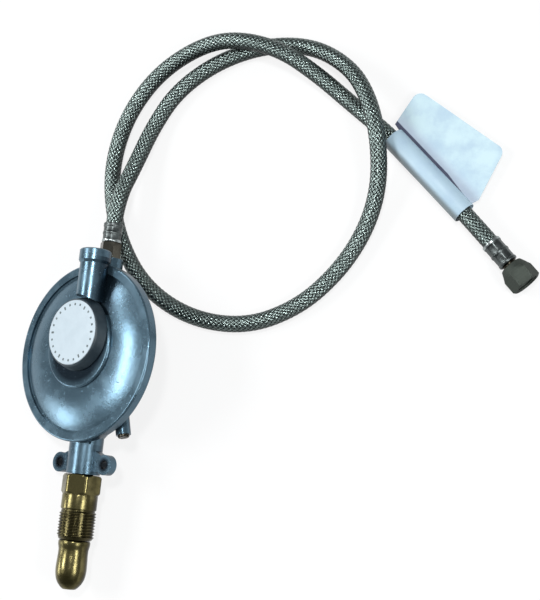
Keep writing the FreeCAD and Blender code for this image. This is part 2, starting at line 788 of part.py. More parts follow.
def make_adjusting_screw():
    """The screw that sets the pressure, under the cap, with a hexagon socket."""
    reach = d.spring_bore - d.running_gap
    body = turned("adjusting_screw", [
        (0, d.screw_low),
        (reach - 0.6, d.screw_low),
        (reach, d.screw_low + 0.6),
        (reach, d.screw_high - 0.6),
        (reach - 0.6, d.screw_high),
        (0, d.screw_high),
    ])
    socket = new_sketch(body, "XY_Plane", "socket", lift=d.screw_high)
    add_polygon(socket, d.screw_socket)
    pocket(body, socket, d.screw_high - d.screw_low - 1.2)
    body.Placement = on_cover()
    return body


def make_spring_seat():
    top = d.screw_low - d.running_gap
    body = turned("spring_seat", [
        (0, top - d.seat_thick),
        (4.8, top - d.seat_thick),
        (d.spring_bore - 0.4, top - d.seat_thick),
        (d.spring_bore - 0.4, top),
        (0, top),
    ])
    body.Placement = on_cover()
    return body


def make_main_spring():
    """The pressure spring, one eight-sided wire wound from the plate up to its seat."""
    body = new_body("main_spring")
    low = d.plate_thick + d.spring_wire / 2 + 0.05
    high = d.screw_low - d.running_gap - d.seat_thick - d.spring_wire / 2 - 0.05
    wire = new_sketch(body, "XZ_Plane", "wire", lift=0.0)
    add_polygon(wire, d.spring_wire, 8, d.spring_radius, low)
    coil = body.newObject("PartDesign::AdditiveHelix", "coil")
    coil.Profile = wire
    coil.ReferenceAxis = (wire, ["V_Axis"])
    coil.Mode = "height-turns-angle"
    bind(coil, Height=high - low, Turns=d.spring_turns)
    body.Placement = on_cover()
    return body


def make_diaphragm_plate():
    body = turned("diaphragm_plate", [
        (d.stem_radius + 0.6 + d.fit_gap, 0),
        (d.plate_radius, 0),
        (d.plate_radius, d.plate_thick),
        (d.stem_radius + 0.6 + d.fit_gap, d.plate_thick),
    ])
    body.Placement = on_cover()
    return body


def make_diaphragm():
    """The rubber diaphragm, clamped under the cover, with its rolling fold."""
    t = d.seal_thick
    inner, outer = d.bead_place - d.bead_half, d.bead_place + d.bead_half
    hole = d.stem_radius + 0.6 + d.fit_gap
    body = turned("diaphragm", [
        (hole, -t),
        (inner, -t),
        (inner + 1.4, -t - d.bead_depth + 0.6),
        (outer - 1.4, -t - d.bead_depth + 0.6),
        (outer, -t),
        (d.rim_radius - d.rim_wall - 0.2, -t),
        (d.rim_radius - d.rim_wall - 0.2, 0),
        (outer + 0.3, 0),
        (outer - 1.1, 0.6 - d.bead_depth),
        (inner + 1.1, 0.6 - d.bead_depth),
        (inner - 0.3, 0),
        (hole, 0),
    ])
    body.Placement = on_cover()
    return body


def make_diaphragm_stem():
    """The stem through plate and diaphragm; the lever's fork sits between its lower collars."""
    neck = d.stem_radius + 0.6
    upper = d.lever_drop - d.fork_gap / 2
    lower = d.lever_drop + d.fork_gap / 2
    collar = d.stem_collar
    body = turned("diaphragm_stem", [
        (0, -lower - 1.2),
        (collar, -lower - 1.2),
        (collar, -lower),
        (d.stem_radius, -lower),
        (d.stem_radius, -upper),
        (collar, -upper),
        (collar, 1.2 - upper),
        (d.stem_radius, 1.2 - upper),
        (d.stem_radius, -d.seal_thick - 1.0),
        (5.0, -d.seal_thick - 1.0),
        (5.0, -d.seal_thick),
        (neck, -d.seal_thick),
        (neck, d.plate_thick),
        (4.2, d.plate_thick),
        (4.2, d.plate_thick + 1.8),
        (3.2, d.plate_thick + 2.6),
        (0, d.plate_thick + 2.6),
    ])
    body.Placement = on_cover()
    return body


def make_lever():
    """A bent lever: its fork follows the stem, its short arm moves the valve plunger."""
    body = new_body("lever")
    hub = d.pin_radius + 1.0
    t = d.lever_thick / 2
    arm = new_sketch(body, "YZ_Plane", "arm")
    back = d.lever_place
    drop = d.lever_drop
    add_outline(arm, [
        (hub - back - 0.6, -drop - t),
        (d.stem_collar + 0.4, -drop - t),
        (d.stem_collar + 0.4, t - drop),
        (hub - back - 0.6, t - drop),
    ])
    pad(body, arm, d.lever_width, middle=True)
    tube = new_sketch(body, "YZ_Plane", "hub")
    add_circle(tube, -back, -drop, hub)
    pad(body, tube, d.lever_width, middle=True)
    finger = new_sketch(body, "YZ_Plane", "finger")
    add_outline(finger, [
        (-back - 0.6, -drop + hub - 0.6),
        (0.6 - back, -drop + hub - 0.6),
        (0.6 - back, 1.6 - d.axis_drop),
        (-back - 0.6, 1.6 - d.axis_drop),
    ])
    pad(body, finger, 3.2, middle=True)
    eye = new_sketch(body, "YZ_Plane", "eye")
    add_circle(eye, -back, -drop, d.pin_radius + d.running_gap)
    pocket(body, eye, d.lever_width + 2.0, middle=True)
    fork = new_sketch(body, "XY_Plane", "fork", lift=t - drop + 0.5)
    half = d.stem_radius + 0.3
    add_outline(fork, [
        (-half, -half - 0.4),
        (half, -half - 0.4),
        (half, d.stem_collar + 1.0),
        (-half, d.stem_collar + 1.0),
    ])
    pocket(body, fork, d.lever_thick + 1.0)
    body.Placement = on_cover()
    return body


def make_lever_pin():
    length = d.pin_length - 0.2
    pin = doc.addObject("Part::Cylinder", "lever_pin")
    pin.Label = "lever_pin"
    bind(pin, Radius=d.pin_radius, Height=length)
    turn = Rotation(Vector(0, 1, 0), 90)
    place = Vector(-float(length) / 2, -float(d.lever_place), -float(d.lever_drop))
    pin.Placement = REGULATOR.multiply(Placement(place, turn))
    return pin


def make_valve_plunger():
    """The plunger that carries the valve pad, slotted for the lever, fluted for the gas."""
    front = d.nozzle_tip - d.valve_gap
    face = front - 0.4
    body = turned("valve_plunger", [
        (0, d.plunger_back),
        (d.plunger_radius - 0.4, d.plunger_back),
        (d.plunger_radius, d.plunger_back + 0.4),
        (d.plunger_radius, face - 0.3),
        (d.plunger_radius - 0.3, face),
        (d.pad_radius + d.fit_gap, face),
        (d.pad_radius + d.fit_gap, front - d.pad_thick),
        (0, front - d.pad_thick),
    ])
    slot = new_sketch(body, "YZ_Plane", "slot")
    half = 1.35
    add_outline(slot, [
        (-d.plunger_radius - 1.0, d.lever_place - half),
        (2.4, d.lever_place - half),
        (2.4, d.lever_place + half),
        (-d.plunger_radius - 1.0, d.lever_place + half),
    ])
    pocket(body, slot, 3.9, middle=True)
    body.Placement = towards_inlet(0)
    return body


def make_valve_pad():
    front = d.nozzle_tip - d.valve_gap
    body = turned("valve_pad", [
        (0, front - d.pad_thick),
        (d.pad_radius, front - d.pad_thick),
        (d.pad_radius, front),
        (0, front),
    ])
    body.Placement = towards_inlet(0)
    return body


def make_inlet_seat():
    """The brass seat that the valve pad closes, screwed in from the inlet."""
    reach = d.inlet_bore - d.fit_gap
    body = turned("inlet_seat", [
        (1.3, d.nozzle_tip),
        (1.9, d.nozzle_tip),
        (2.6, d.nozzle_tip + 1.2),
        (2.6, d.guide_start),
        (reach, d.guide_start),
        (reach, d.guide_start + 9.0),
        (1.9, d.guide_start + 9.0),
        (1.3, d.guide_start + 7.5),
    ])
    body.Placement = towards_inlet(0)
    return body


def make_inlet_filter():
    """A sintered cup that keeps grit out of the valve."""
    reach = d.inlet_bore - d.fit_gap
    start = d.guide_start + 9.0
    end = d.neck_end - d.inlet_thread_depth - 0.1
    body = turned("inlet_filter", [
        (0, start + 0.1),
        (reach - 1.6, start + 0.1),
        (reach, start + 2.0),
        (reach, end),
        (reach - 1.2, end),
        (reach - 1.2, start + 2.0),
        (0, start + 2.0),
    ])
    body.Placement = towards_inlet(0)
    return body


def make_pol_nut():
    """The bottle nut: a hexagon, a plain stretch and the thread that enters the bottle."""
    body = new_body("pol_nut")
    hexagon = new_sketch(body, "XY_Plane", "hexagon")
    add_polygon(hexagon, d.nut_hex)
    pad(body, hexagon, d.nut_hex_length)
    corner = d.nut_hex / 2 * 1.1547
    bevel = new_sketch(body, "XZ_Plane", "bevel")
    for low, high in ((0.0, 1.4), (d.nut_hex_length, d.nut_hex_length - 1.4)):
        add_outline(bevel, [
            (corner - 1.9, low),
            (corner + 1.0, low),
            (corner + 1.0, high),
            (corner - 0.1, high),
        ])
    revolve(body, bevel, cut=True)
    shank = new_sketch(body, "XZ_Plane", "shank")
    start = d.nut_hex_length
    step = start + d.nut_shank_length
    end = step + d.nut_thread_length
    add_outline(shank, [
        (0, start - 1.0),
        (d.nut_shank, start - 1.0),
        (d.nut_shank, step),
        (d.nut_thread - 0.9, step),
        (d.nut_thread - 0.9, step + 0.9),
        (d.nut_thread, step + 1.8),
        (d.nut_thread, end - 2.0),
        (d.nut_thread - 1.4, end - 0.3),
        (0, end - 0.3),
    ])
    revolve(body, shank)
    bore = new_sketch(body, "XY_Plane", "bore")
    add_circle(bore, 0, 0, d.nut_bore)
    pocket(body, bore, end + 1.0, reverse=True)
    body.Placement = towards_inlet(d.neck_end + d.nut_start)
    return body


def make_pol_nipple():
    """The bullet-nosed nipple: screwed into the neck, through the nut, sealing in the bottle."""
    body_end = d.nut_start + d.nut_hex_length + d.nut_shank_length + d.nut_thread_length
    shank = d.nut_bore - 2 * d.running_gap
    tip = body_end + d.nose_length
    bulb = tip - 12.0
    body = turned("pol_nipple", [
        (d.nose_bore, 0.5 - d.inlet_thread_depth),
        (d.inlet_thread - 0.8, 0.5 - d.inlet_thread_depth),
        (d.inlet_thread - d.fit_gap, 1.5 - d.inlet_thread_depth),
        (d.inlet_thread - d.fit_gap, 0),
        (shank, 0.2),
        (shank, body_end),
        (d.nose_shoulder - 0.6, body_end),
        (d.nose_shoulder, body_end + 0.6),
        (d.nose_shoulder, body_end + 2.5),
        (d.nose_waist, body_end + 5.5),
        (d.nose_waist, body_end + 9.0),
        (d.nose_bulb, bulb, 12.0),
        (d.nose_bore + 1.2, tip),
        (d.nose_bore, tip - 1.0),
    ])
    body.Placement = towards_inlet(d.neck_end)
    return body


def make_outlet_nipple():
    """The hose's near tail: screwed into the outlet boss, hexagon, barbed stem."""
    body = new_body("outlet_nipple")
    hexagon = new_sketch(body, "XY_Plane", "outlet_hexagon")
    add_polygon(hexagon, d.outlet_hex)
    pad(body, hexagon, d.outlet_hex_length)
    stem = new_sketch(body, "XZ_Plane", "outlet_stem")
    add_outline(stem, tail_outline(
        -d.outlet_thread_depth + 0.5, d.outlet_thread - d.fit_gap, d.outlet_hex_length, d.near_grip
    ))
    revolve(body, stem)
    bore = new_sketch(body, "XY_Plane", "outlet_nipple_bore", lift=-d.outlet_thread_depth)
    add_circle(bore, 0, 0, d.tail_bore)
    pocket(body, bore, 60.0, reverse=True)
    body.Placement = towards_outlet(d.outlet_end)
    return body


def tail_outline(low, low_radius, shoulder, grip):
    """A hose tail: thread or neck, shoulder inside the ferrule, stem with two barbs."""
    bore = d.hose_bore
    stop = shoulder + 2 * d.ferrule_wall
    return [
        (0, low),
        (low_radius, low),
        (low_radius, 0.5),
        (4.6, 0.5),
        (4.6, shoulder + 0.2),
        (4.2, shoulder + d.ferrule_wall),
        (d.ferrule_radius - 1.6, shoulder + d.ferrule_wall + d.fit_gap),
        (d.ferrule_radius - 1.6, stop - d.fit_gap),
        (bore - 0.5, stop - d.fit_gap),
        (bore - d.fit_gap, stop + 0.8),
        (bore - 0.5, stop + 3.0),
        (bore - d.fit_gap, stop + 3.8),
        (bore - 0.5, stop + 6.0),
        (bore - 0.5, stop + grip - 0.8),
        (0, stop + grip - 0.8),
    ]


def ferrule_outline(grip):
    """A crimped ferrule: end wall behind the tail's shoulder, grooves where it was pressed."""
    wall, outer = d.ferrule_wall, d.ferrule_radius
    stop = 2 * wall
    end = stop + grip
    hole = 4.6 + 2 * d.fit_gap
    inner = d.hose_radius + d.fit_gap
    groove = outer - 0.5
    third = (end - 4.0) / 2
    return [
        (hole, 0),
        (outer - 0.8, 0),
        (outer, 0.8),
        (outer, 1.8),
        (groove, 2.3),
        (groove, third + 0.9),
        (outer, third + 1.4),
        (outer, third + 2.4),
        (groove, third + 2.9),
        (groove, end - 2.6),
        (outer, end - 2.1),
        (outer, end - 0.5),
        (outer - 0.5, end),
        (inner, end),
        (inner, stop),
        (d.ferrule_radius - 1.6 + d.fit_gap, stop),
        (d.ferrule_radius - 1.6 + d.fit_gap, wall),
        (hole, wall),
    ]


def make_near_ferrule():
    body = turned("near_ferrule", ferrule_outline(d.near_grip))
    body.Placement = towards_outlet(d.outlet_end + d.outlet_hex_length + 0.0)
    return body


def make_far_ferrule():
    body = turned("far_ferrule", ferrule_outline(d.far_grip))
    body.Placement = backwards(far_frame(), 2 * d.ferrule_wall)
    return body


def backwards(frame, z):
    """The same frame turned to look back along its Z, starting a distance ahead."""
    turn = Rotation(Vector(1, 0, 0), 180)
    return frame.multiply(Placement(Vector(0, 0, float(z)), turn))


def make_far_tail():
    """The far tail: barbed stem in the hose, neck, and the cone that the nut pulls home."""
    start = 2 * d.ferrule_wall
    bore = d.hose_bore
    nut = start + d.far_nut_gap
    shelf = nut + d.far_nut_wall + 0.2
    cone = shelf + 4.0
    neck = d.far_nut_neck - 2 * d.running_gap
    flange = d.far_nut_thread - 0.4
    body = turned("far_tail", [
        (d.tail_bore, 0.8 - d.far_grip),
        (bore - 0.5, 0.8 - d.far_grip),
        (bore - 0.5, -6.0),
        (bore - d.fit_gap, -3.8),
        (bore - 0.5, -3.0),
        (bore - d.fit_gap, -0.8),
        (bore - 0.5, d.fit_gap),
        (d.ferrule_radius - 1.6, d.fit_gap),
        (d.ferrule_radius - 1.6, d.ferrule_wall - d.fit_gap),
        (4.2, d.ferrule_wall),
        (neck - 0.2, start),
        (neck, shelf),
        (flange, shelf),
        (flange, shelf + 1.2),
        (2.6, cone),
        (d.tail_bore, cone),
    ])
    body.Placement = far_frame()
    return body


def make_swivel_nut():
    """The nut at the hose's far end, tapered towards the hose, threaded inside."""
    body = new_body("swivel_nut")
    hexagon = new_sketch(body, "XY_Plane", "far_hexagon")
    add_polygon(hexagon, d.far_nut_hex)
    pad(body, hexagon, d.far_nut_length)
    corner = d.far_nut_hex / 2 * 1.1547
    taper = new_sketch(body, "XZ_Plane", "far_taper")
    add_outline(taper, [
        (d.far_nut_slope, -1.0),
        (corner + 1.0, -1.0),
        (corner + 1.0, 6.5),
        (corner, 6.5),
        (d.far_nut_slope, 0),
    ])
    end = d.far_nut_length
    add_outline(taper, [
        (corner - 1.3, end),
        (corner + 1.0, end),
        (corner + 1.0, end - 0.9),
        (corner, end - 0.9),
    ])
    revolve(body, taper, cut=True)
    inside = new_sketch(body, "XZ_Plane", "far_inside")
    add_outline(inside, [
        (0, -1.0),
        (d.far_nut_neck, -1.0),
        (d.far_nut_neck, d.far_nut_wall),
        (d.far_nut_thread + 0.5, d.far_nut_wall),
        (d.far_nut_thread + 0.5, d.far_nut_relief),
        (d.far_nut_thread, d.far_nut_relief + 0.2),
        (d.far_nut_thread, end - 0.8),
        (d.far_nut_thread + 0.7, end),
        (d.far_nut_thread + 0.7, end + 1.0),
        (0, end + 1.0),
    ])
    revolve(body, inside, cut=True)
    start = 2 * d.ferrule_wall + d.far_nut_gap
    frame = Placement(Vector(0, 0, float(start)), Rotation())
    body.Placement = far_frame().multiply(frame)
    return body


def make_vent_screen():
    """A perforated disc at the bottom of the vent's port."""
    body = new_body("vent_screen")
    disc = new_sketch(body, "XY_Plane", "screen_disc")
    add_circle(disc, 0, 0, d.vent_port - d.fit_gap)
    pad(body, disc, d.screen_thick)
    hole = new_sketch(body, "XY_Plane", "screen_hole")
    add_circle(hole, 0, 4.4, 0.9)
    cut = pocket(body, hole, d.screen_thick, reverse=True)
    pattern = body.newObject("PartDesign::PolarPattern", "screen_holes")
    pattern.Originals = [cut]
    axis = [f for f in body.Origin.OriginFeatures if f.Role == "Z_Axis"][0]
    pattern.Axis = (axis, [""])
    pattern.Angle = 360
    pattern.Occurrences = 8
    body.Tip = pattern
    middle = new_sketch(body, "XY_Plane", "screen_middle")
    add_circle(middle, 0, 0, 1.4)
    pocket(body, middle, d.screen_thick, reverse=True)
    turn = Rotation(Vector(1, 0, 0), -90)
    depth = float(d.vent_end - d.vent_port_depth)
    place = Vector(float(d.vent_side), depth, float(d.vent_height))
    body.Placement = REGULATOR.multiply(Placement(place, turn))
    return body


def make_test_plug():
    """The screw that closes the test tap, with a driver slot."""
    top = d.tap_length + 8.0
    body = turned("test_plug", [
        (0, 3.0),
        (d.tap_screw - d.fit_gap, 3.0),
        (d.tap_screw - d.fit_gap, top),
        (d.tap_screw + 0.9, top),
        (d.tap_screw + 0.9, top + 1.2),
        (d.tap_screw + 0.4, top + 1.7),
        (0, top + 1.7),
    ])
    slot = new_sketch(body, "XY_Plane", "driver_slot", lift=top + 1.7)
    reach = d.tap_screw + 2.0
    add_outline(slot, [(-reach, -0.5), (reach, -0.5), (reach, 0.5), (-reach, 0.5)])
    pocket(body, slot, 1.0)
    body.Placement = REGULATOR.multiply(tap_frame())
    return body


def hose_points():
    """The route with its first point at the stop inside the near ferrule."""
    start = towards_outlet(NEAR_STOP).Base
    return [start] + [Vector(*point) for point in ROUTE]


def hose_path(points):
    """Straight runs joined by arcs that touch both, each as wide as its shorter run allows."""
    edges, radii = [], []
    last = points[0]
    for before, corner, after in zip(points, points[1:], points[2:]):
        back, ahead = corner - before, after - corner
        reach = 0.45 * min(back.Length, ahead.Length)
        turn = back.getAngle(ahead)
        radii.append(reach / math.tan(turn / 2))
        back.normalize()
        ahead.normalize()
        first, second = corner - back * reach, corner + ahead * reach
        inward = (ahead - back).normalize()
        centre = corner + inward * (radii[-1] / math.cos(turn / 2))
        middle = centre - inward * radii[-1]
        edges.append(Part.LineSegment(last, first).toShape())
        edges.append(Part.Arc(first, middle, second).toShape())
        last = second
    edges.append(Part.LineSegment(last, points[-1]).toShape())
    return Part.Wire(edges), radii


def swept_tube(path, points, radius):
    direction = (points[1] - points[0]).normalize()
    circle = Part.Wire([Part.Circle(points[0], direction, float(radius)).toShape()])
    return path.makePipeShell([circle], True, False)


def least_gap(path, diameter):
    """The least room between two stretches of the hose that lie side by side or cross."""
    spots = path.discretize(Distance=2.0)
    apart = 30
    best = 1e9
    for i, a in enumerate(spots):
        for b in spots[i + apart:]:
            best = min(best, a.distanceToPoint(b))
    return best - diameter


def make_hose():
    points = hose_points()
    path, radii = hose_path(points)
    outside = swept_tube(path, points, d.hose_radius)
    inside = swept_tube(path, points, d.hose_bore)
    tube = outside.cut(inside)
    hose = doc.addObject("Part::Feature", "hose")
    hose.Label = "hose"
    hose.Shape = tube
    section = math.pi * (d.hose_radius**2 - d.hose_bore**2)
    print("hose length %.1f mm" % path.Length)
    print("hose volume over section times length %.4f" % (tube.Volume / (section * path.Length)))
    print("hose bends", " ".join("%.0f" % r for r in radii))
    print("hose least gap to itself %.2f mm" % least_gap(path, 2 * d.hose_radius))
    return hose


def make_tag():
    """The film tag: a sleeve round the hose and a flag that lies out to the side."""
    body = new_body("tag")
    sleeve = new_sketch(body, "XY_Plane", "sleeve")
    add_circle(sleeve, 0, 0, d.tag_radius)
    add_circle(sleeve, 0, 0, d.tag_radius - d.tag_wall)
    pad(body, sleeve, d.tag_length)
    flag = new_sketch(body, "XZ_Plane", "flag")
    flag.AttachmentOffset = Placement(Vector(0, 0, 3.4), Rotation(Vector(0, 1, 0), 2.0))
    base = d.tag_radius - 2.0
    corner = 5.0
    add_outline(flag, [
        (base, 4.0),
        (base + 1.5, -7.0),
        (27.6, -12.4, corner + 0.5),
        (33.6, -8.2),
        (43.6, 47.0, corner + 0.5),
        (40.2, 54.5),
        (12.0, 65.6),
        (base, d.tag_length - 3.0),
    ])
    pad(body, flag, 2 * d.tag_wall, middle=True)
    along = (TAG_END - TAG_START).normalize()
    out = Vector(0, 0, 1).cross(along)
    start = TAG_START + Vector(0, 0, float(d.tag_height))
    body.Placement = Placement(start, Rotation(out, Vector(0, 0, -1), along, "ZXY"))
    return body


MAKERS = [
    make_lower_body, make_cover, make_tower_cap, make_label_disc, make_adjusting_screw,
    make_spring_seat, make_main_spring, make_diaphragm_plate, make_diaphragm,
    make_diaphragm_stem, make_lever, make_lever_pin, make_valve_plunger, make_valve_pad,
    make_inlet_seat, make_inlet_filter, make_pol_nut, make_pol_nipple, make_outlet_nipple,
    make_near_ferrule, make_hose, make_far_ferrule, make_far_tail, make_swivel_nut,
    make_tag, make_vent_screen, make_test_plug,
]


def check(pieces):
    """Stops if an object failed or a piece isn't one valid solid."""
    for thing in doc.Objects:
        if {"Invalid", "Error"} & set(thing.State):
            raise RuntimeError("%s is in state %s" % (thing.Name, thing.State))
    for piece in pieces:
        shape = piece.Shape
        if shape.isNull() or not shape.isValid() or len(shape.Solids) != 1:
            raise RuntimeError("%s has no single valid solid" % piece.Label)


def main():
    pieces = [make() for make in MAKERS]
    doc.recompute()
    check(pieces)
    os.makedirs("parts", exist_ok=True)
    box = FreeCAD.BoundBox()
    for piece in pieces:
        piece.Shape.exportStep("parts/%s.step" % piece.Label)
        box.add(piece.Shape.BoundBox)
        print("%-16s %9.1f mm3" % (piece.Label, piece.Shape.Volume))
    print("tilt %.3f, height of the joint face %.3f" % (TILT, JOINT_HEIGHT))
    print("box %.1f x %.1f x %.1f mm" % (box.XLength, box.YLength, box.ZLength))


main()
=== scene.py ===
# %% [markdown]
# A low pressure gas regulator with its braided hose, as it lies on a pale table.
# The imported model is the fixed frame: every piece below sits where the frame says.
# Lengths are in metres, except in the turned outlines and the tag, which are in millimetres as
# on a workshop drawing and are converted in one place.

# %% The frame
import json
import math

import bpy
import numpy as np
from mathutils import Matrix, Vector


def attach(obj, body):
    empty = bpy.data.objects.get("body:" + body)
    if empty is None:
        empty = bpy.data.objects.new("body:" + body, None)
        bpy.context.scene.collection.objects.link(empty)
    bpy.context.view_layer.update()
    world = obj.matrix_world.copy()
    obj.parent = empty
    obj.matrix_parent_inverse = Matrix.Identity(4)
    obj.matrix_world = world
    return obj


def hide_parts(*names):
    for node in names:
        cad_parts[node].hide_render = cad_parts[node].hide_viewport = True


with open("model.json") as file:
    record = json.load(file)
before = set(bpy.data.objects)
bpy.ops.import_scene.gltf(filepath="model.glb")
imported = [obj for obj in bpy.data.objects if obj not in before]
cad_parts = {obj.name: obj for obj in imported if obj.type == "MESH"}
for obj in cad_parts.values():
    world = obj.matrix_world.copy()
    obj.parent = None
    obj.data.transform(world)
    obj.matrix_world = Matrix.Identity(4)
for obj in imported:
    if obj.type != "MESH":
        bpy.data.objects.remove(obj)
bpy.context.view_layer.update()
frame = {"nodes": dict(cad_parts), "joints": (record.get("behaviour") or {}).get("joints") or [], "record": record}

MM = 0.001
FULL_TURN = 2 * math.pi
NODES = frame["nodes"]
JOINTS = {joint["name"]: joint for joint in frame["joints"]}
MOUNTS = {mount["name"]: mount for mount in frame["record"]["mounts"]}

# %% [markdown]
# The regulator has its own frame: X across the disc, Y from the bottle to the hose and Z out
# of the cover. It leans on the table, so pieces are drawn upright in that frame and then
# laid down with one matrix. The lean is read from the adjusting screw's axis.

# %% Where the regulator and the far nut lie
JOINT_FACE_TO_SCREW = 11.5 * MM
PASSAGE_DROP = 9.5
FAR_NUT_LENGTH = 15.0
COVER_AXIS = Vector(JOINTS["screw_turn"]["axis"]).normalized()
COVER_CENTRE = Vector(JOINTS["screw_turn"]["pos_m"]) - COVER_AXIS * JOINT_FACE_TO_SCREW
FAR_AXIS = Vector(JOINTS["far_nut_spin"]["axis"])
FAR_NUT_MIDDLE = Vector(JOINTS["far_nut_spin"]["pos_m"])
ALONG = Vector((0, 1, 0))


def frame_matrix(origin, x_axis, z_axis):
    """A frame with its own Z along z_axis and its X as near to x_axis as it can be."""
    z = Vector(z_axis).normalized()
    y = z.cross(Vector(x_axis)).normalized()
    x = y.cross(z)
    matrix = Matrix((x, y, z)).transposed().to_4x4()
    matrix.translation = Vector(origin)
    return matrix


REGULATOR = frame_matrix(COVER_CENTRE, ALONG.cross(COVER_AXIS), COVER_AXIS)
SIDEWAYS = REGULATOR.to_3x3() @ Vector((1, 0, 0))


def on_cover(x, y, z=0.0):
    """A frame on the cover, its Z out of the cover. Distances in millimetres."""
    return REGULATOR @ Matrix.Translation(Vector((x, y, z)) * MM)


def on_passage(start, towards_bottle):
    """A frame on the gas passage at a distance from the disc's centre, in millimetres."""
    centre = on_cover(0, 0, -PASSAGE_DROP).translation
    direction = -ALONG if towards_bottle else ALONG
    return frame_matrix(centre + direction * start * MM, SIDEWAYS, direction)


def on_far_end(start):
    """A frame on the far fitting, its Z away from the hose and its X down."""
    origin = FAR_NUT_MIDDLE + FAR_AXIS * (start - FAR_NUT_LENGTH / 2) * MM
    return frame_matrix(origin, (0, 0, -1), FAR_AXIS)


print("cover centre", [round(value, 4) for value in COVER_CENTRE])

# %% [markdown]
# The camera stands where the photograph was taken from: above the part, a little to the right
# and almost straight down, with a long lens. Its place and turn were found by laying the
# regulator's outline and the hose's loop over each other.

# %% The camera
CAMERA_PLACE = Vector((0.28292, -0.05735, 0.72305))
CAMERA_YAW = math.radians(13.65)
CAMERA_PITCH = math.radians(9.96)
CAMERA_ROLL = math.radians(5.66)
LENS = 72.0
SENSOR = 36.0


def add_object(name, data):
    """Makes an object of a mesh, lamp or camera and puts it in the scene."""
    thing = bpy.data.objects.new(name, data)
    bpy.context.scene.collection.objects.link(thing)
    return thing


def make_camera():
    data = bpy.data.cameras.new("camera")
    data.lens = LENS
    data.sensor_width = SENSOR
    camera = add_object("camera", data)
    yaw = Matrix.Rotation(CAMERA_YAW, 4, "Y")
    pitch = Matrix.Rotation(CAMERA_PITCH, 4, "X")
    roll = Matrix.Rotation(CAMERA_ROLL, 4, "Z")
    camera.matrix_world = Matrix.Translation(CAMERA_PLACE) @ yaw @ pitch @ roll
    bpy.context.scene.camera = camera
    return camera


camera = make_camera()
print("camera looks along", [round(-value, 3) for value in camera.matrix_world.col[2][:3]])

# %% [markdown]
# A finish is a sum of shader nodes. To keep it readable, a node's output is wrapped as a value,
# and adding or multiplying values adds the Math node that does it. A plain number or colour is
# set on the input's own socket.

# %% Shader nodes as values


class Value:
    """One output of a shader node. Arithmetic on it adds Math nodes to its tree."""

    def __init__(self, tree, socket):
        self.tree = tree
        self.socket = socket

    def __getitem__(self, label):
        """Another output of the same node."""
        return Value(self.tree, self.socket.node.outputs[label])

    def __add__(self, other):
        return maths("ADD", self, other)

    def __sub__(self, other):
        return maths("SUBTRACT", self, other)

    def __rsub__(self, other):
        return maths("SUBTRACT", other, self)

    def __mul__(self, other):
        return maths("MULTIPLY", self, other)

    def __truediv__(self, other):
        return maths("DIVIDE", self, other)

    def __mod__(self, other):
        return maths("FLOORED_MODULO", self, other)

    def step(self, low, high):
        """Rises smoothly from 0 at low to 1 at high."""
        ends = {"Value": self, "From Min": low, "From Max": high}
        return add_node(self.tree, "MapRange", ends, "Result", interpolation_type="SMOOTHSTEP")


def feed(tree, socket, source):
    """Links a value to an input, or sets the input's own number or colour."""
    if isinstance(source, Value):
        tree.links.new(source.socket, socket)
    else:
        socket.default_value = source


def add_node(tree, kind, inputs=None, output=0, **settings):
    """Adds a node, sets and feeds it, and returns one of its outputs."""
    node = tree.nodes.new("ShaderNode" + kind)
    for label, setting in settings.items():
        setattr(node, label, setting)
    for key, source in (inputs or {}).items():
        feed(tree, node.inputs[key], source)
    return Value(tree, node.outputs[output])


def maths(operation, first, second=0.0):
    """A Math node of a value and another value or a number."""
    tree = first.tree if isinstance(first, Value) else second.tree
    return add_node(tree, "Math", {0: first, 1: second}, operation=operation)


def vector_maths(operation, first, second=None, output="Vector"):
    inputs = {0: first} if second is None else {0: first, 1: second}
    return add_node(first.tree, "VectorMath", inputs, output, operation=operation)


def mix(factor, first, second):
    """A colour between two others. The Mix node has its colours' sockets at 6, 7 and 2."""
    return add_node(factor.tree, "Mix", {0: factor, 6: first, 7: second}, 2, data_type="RGBA")


def noise(vector, scale, detail=2.0, roughness=0.5):
    inputs = {"Vector": vector, "Scale": scale, "Detail": detail, "Roughness": roughness}
    return add_node(vector.tree, "TexNoise", inputs, "Fac")


def new_material(name, roughness, metallic=0.0):
    """A material, and its Principled shader with plain values on its own sockets."""
    material = bpy.data.materials.new(name)
    material.use_nodes = True
    shader = material.node_tree.nodes["Principled BSDF"]
    shader.inputs["Roughness"].default_value = roughness
    shader.inputs["Metallic"].default_value = metallic
    return material, shader


# %% [markdown]
# The table is a large pale plane. The camera, and mirrors and glass, see it as plain white
# with a little of the real shading left in, so that the part keeps a faint shadow.

# %% The table
TABLE_SIZE = 40.0
TABLE_COLOUR = (0.86, 0.87, 0.88, 1)
TABLE_ROUGHNESS = 0.9
TABLE_GLOW = 0.82
WHITE = (1, 1, 1, 1)


def make_table():
    half = TABLE_SIZE / 2
    corners = [(-half, -half, 0), (half, -half, 0), (half, half, 0), (-half, half, 0)]
    mesh = bpy.data.meshes.new("table")
    mesh.from_pydata(corners, [], [(0, 1, 2, 3)])
    material, surface = new_material("table", TABLE_ROUGHNESS)
    surface.inputs["Base Color"].default_value = TABLE_COLOUR
    tree = material.node_tree
    rays = add_node(tree, "LightPath")
    seen = maths("MAXIMUM", rays["Is Camera Ray"], rays["Is Glossy Ray"])
    share = maths("MAXIMUM", seen, rays["Is Transmission Ray"]) * TABLE_GLOW
    glow = add_node(tree, "Emission", {"Color": WHITE})
    shaded = Value(tree, surface.outputs[0])
    both = add_node(tree, "MixShader", {0: share, 1: shaded, 2: glow})
    feed(tree, tree.nodes["Material Output"].inputs["Surface"], both)
    mesh.materials.append(material)
    add_object("table", mesh)


make_table()
print("table", TABLE_SIZE, "m wide")

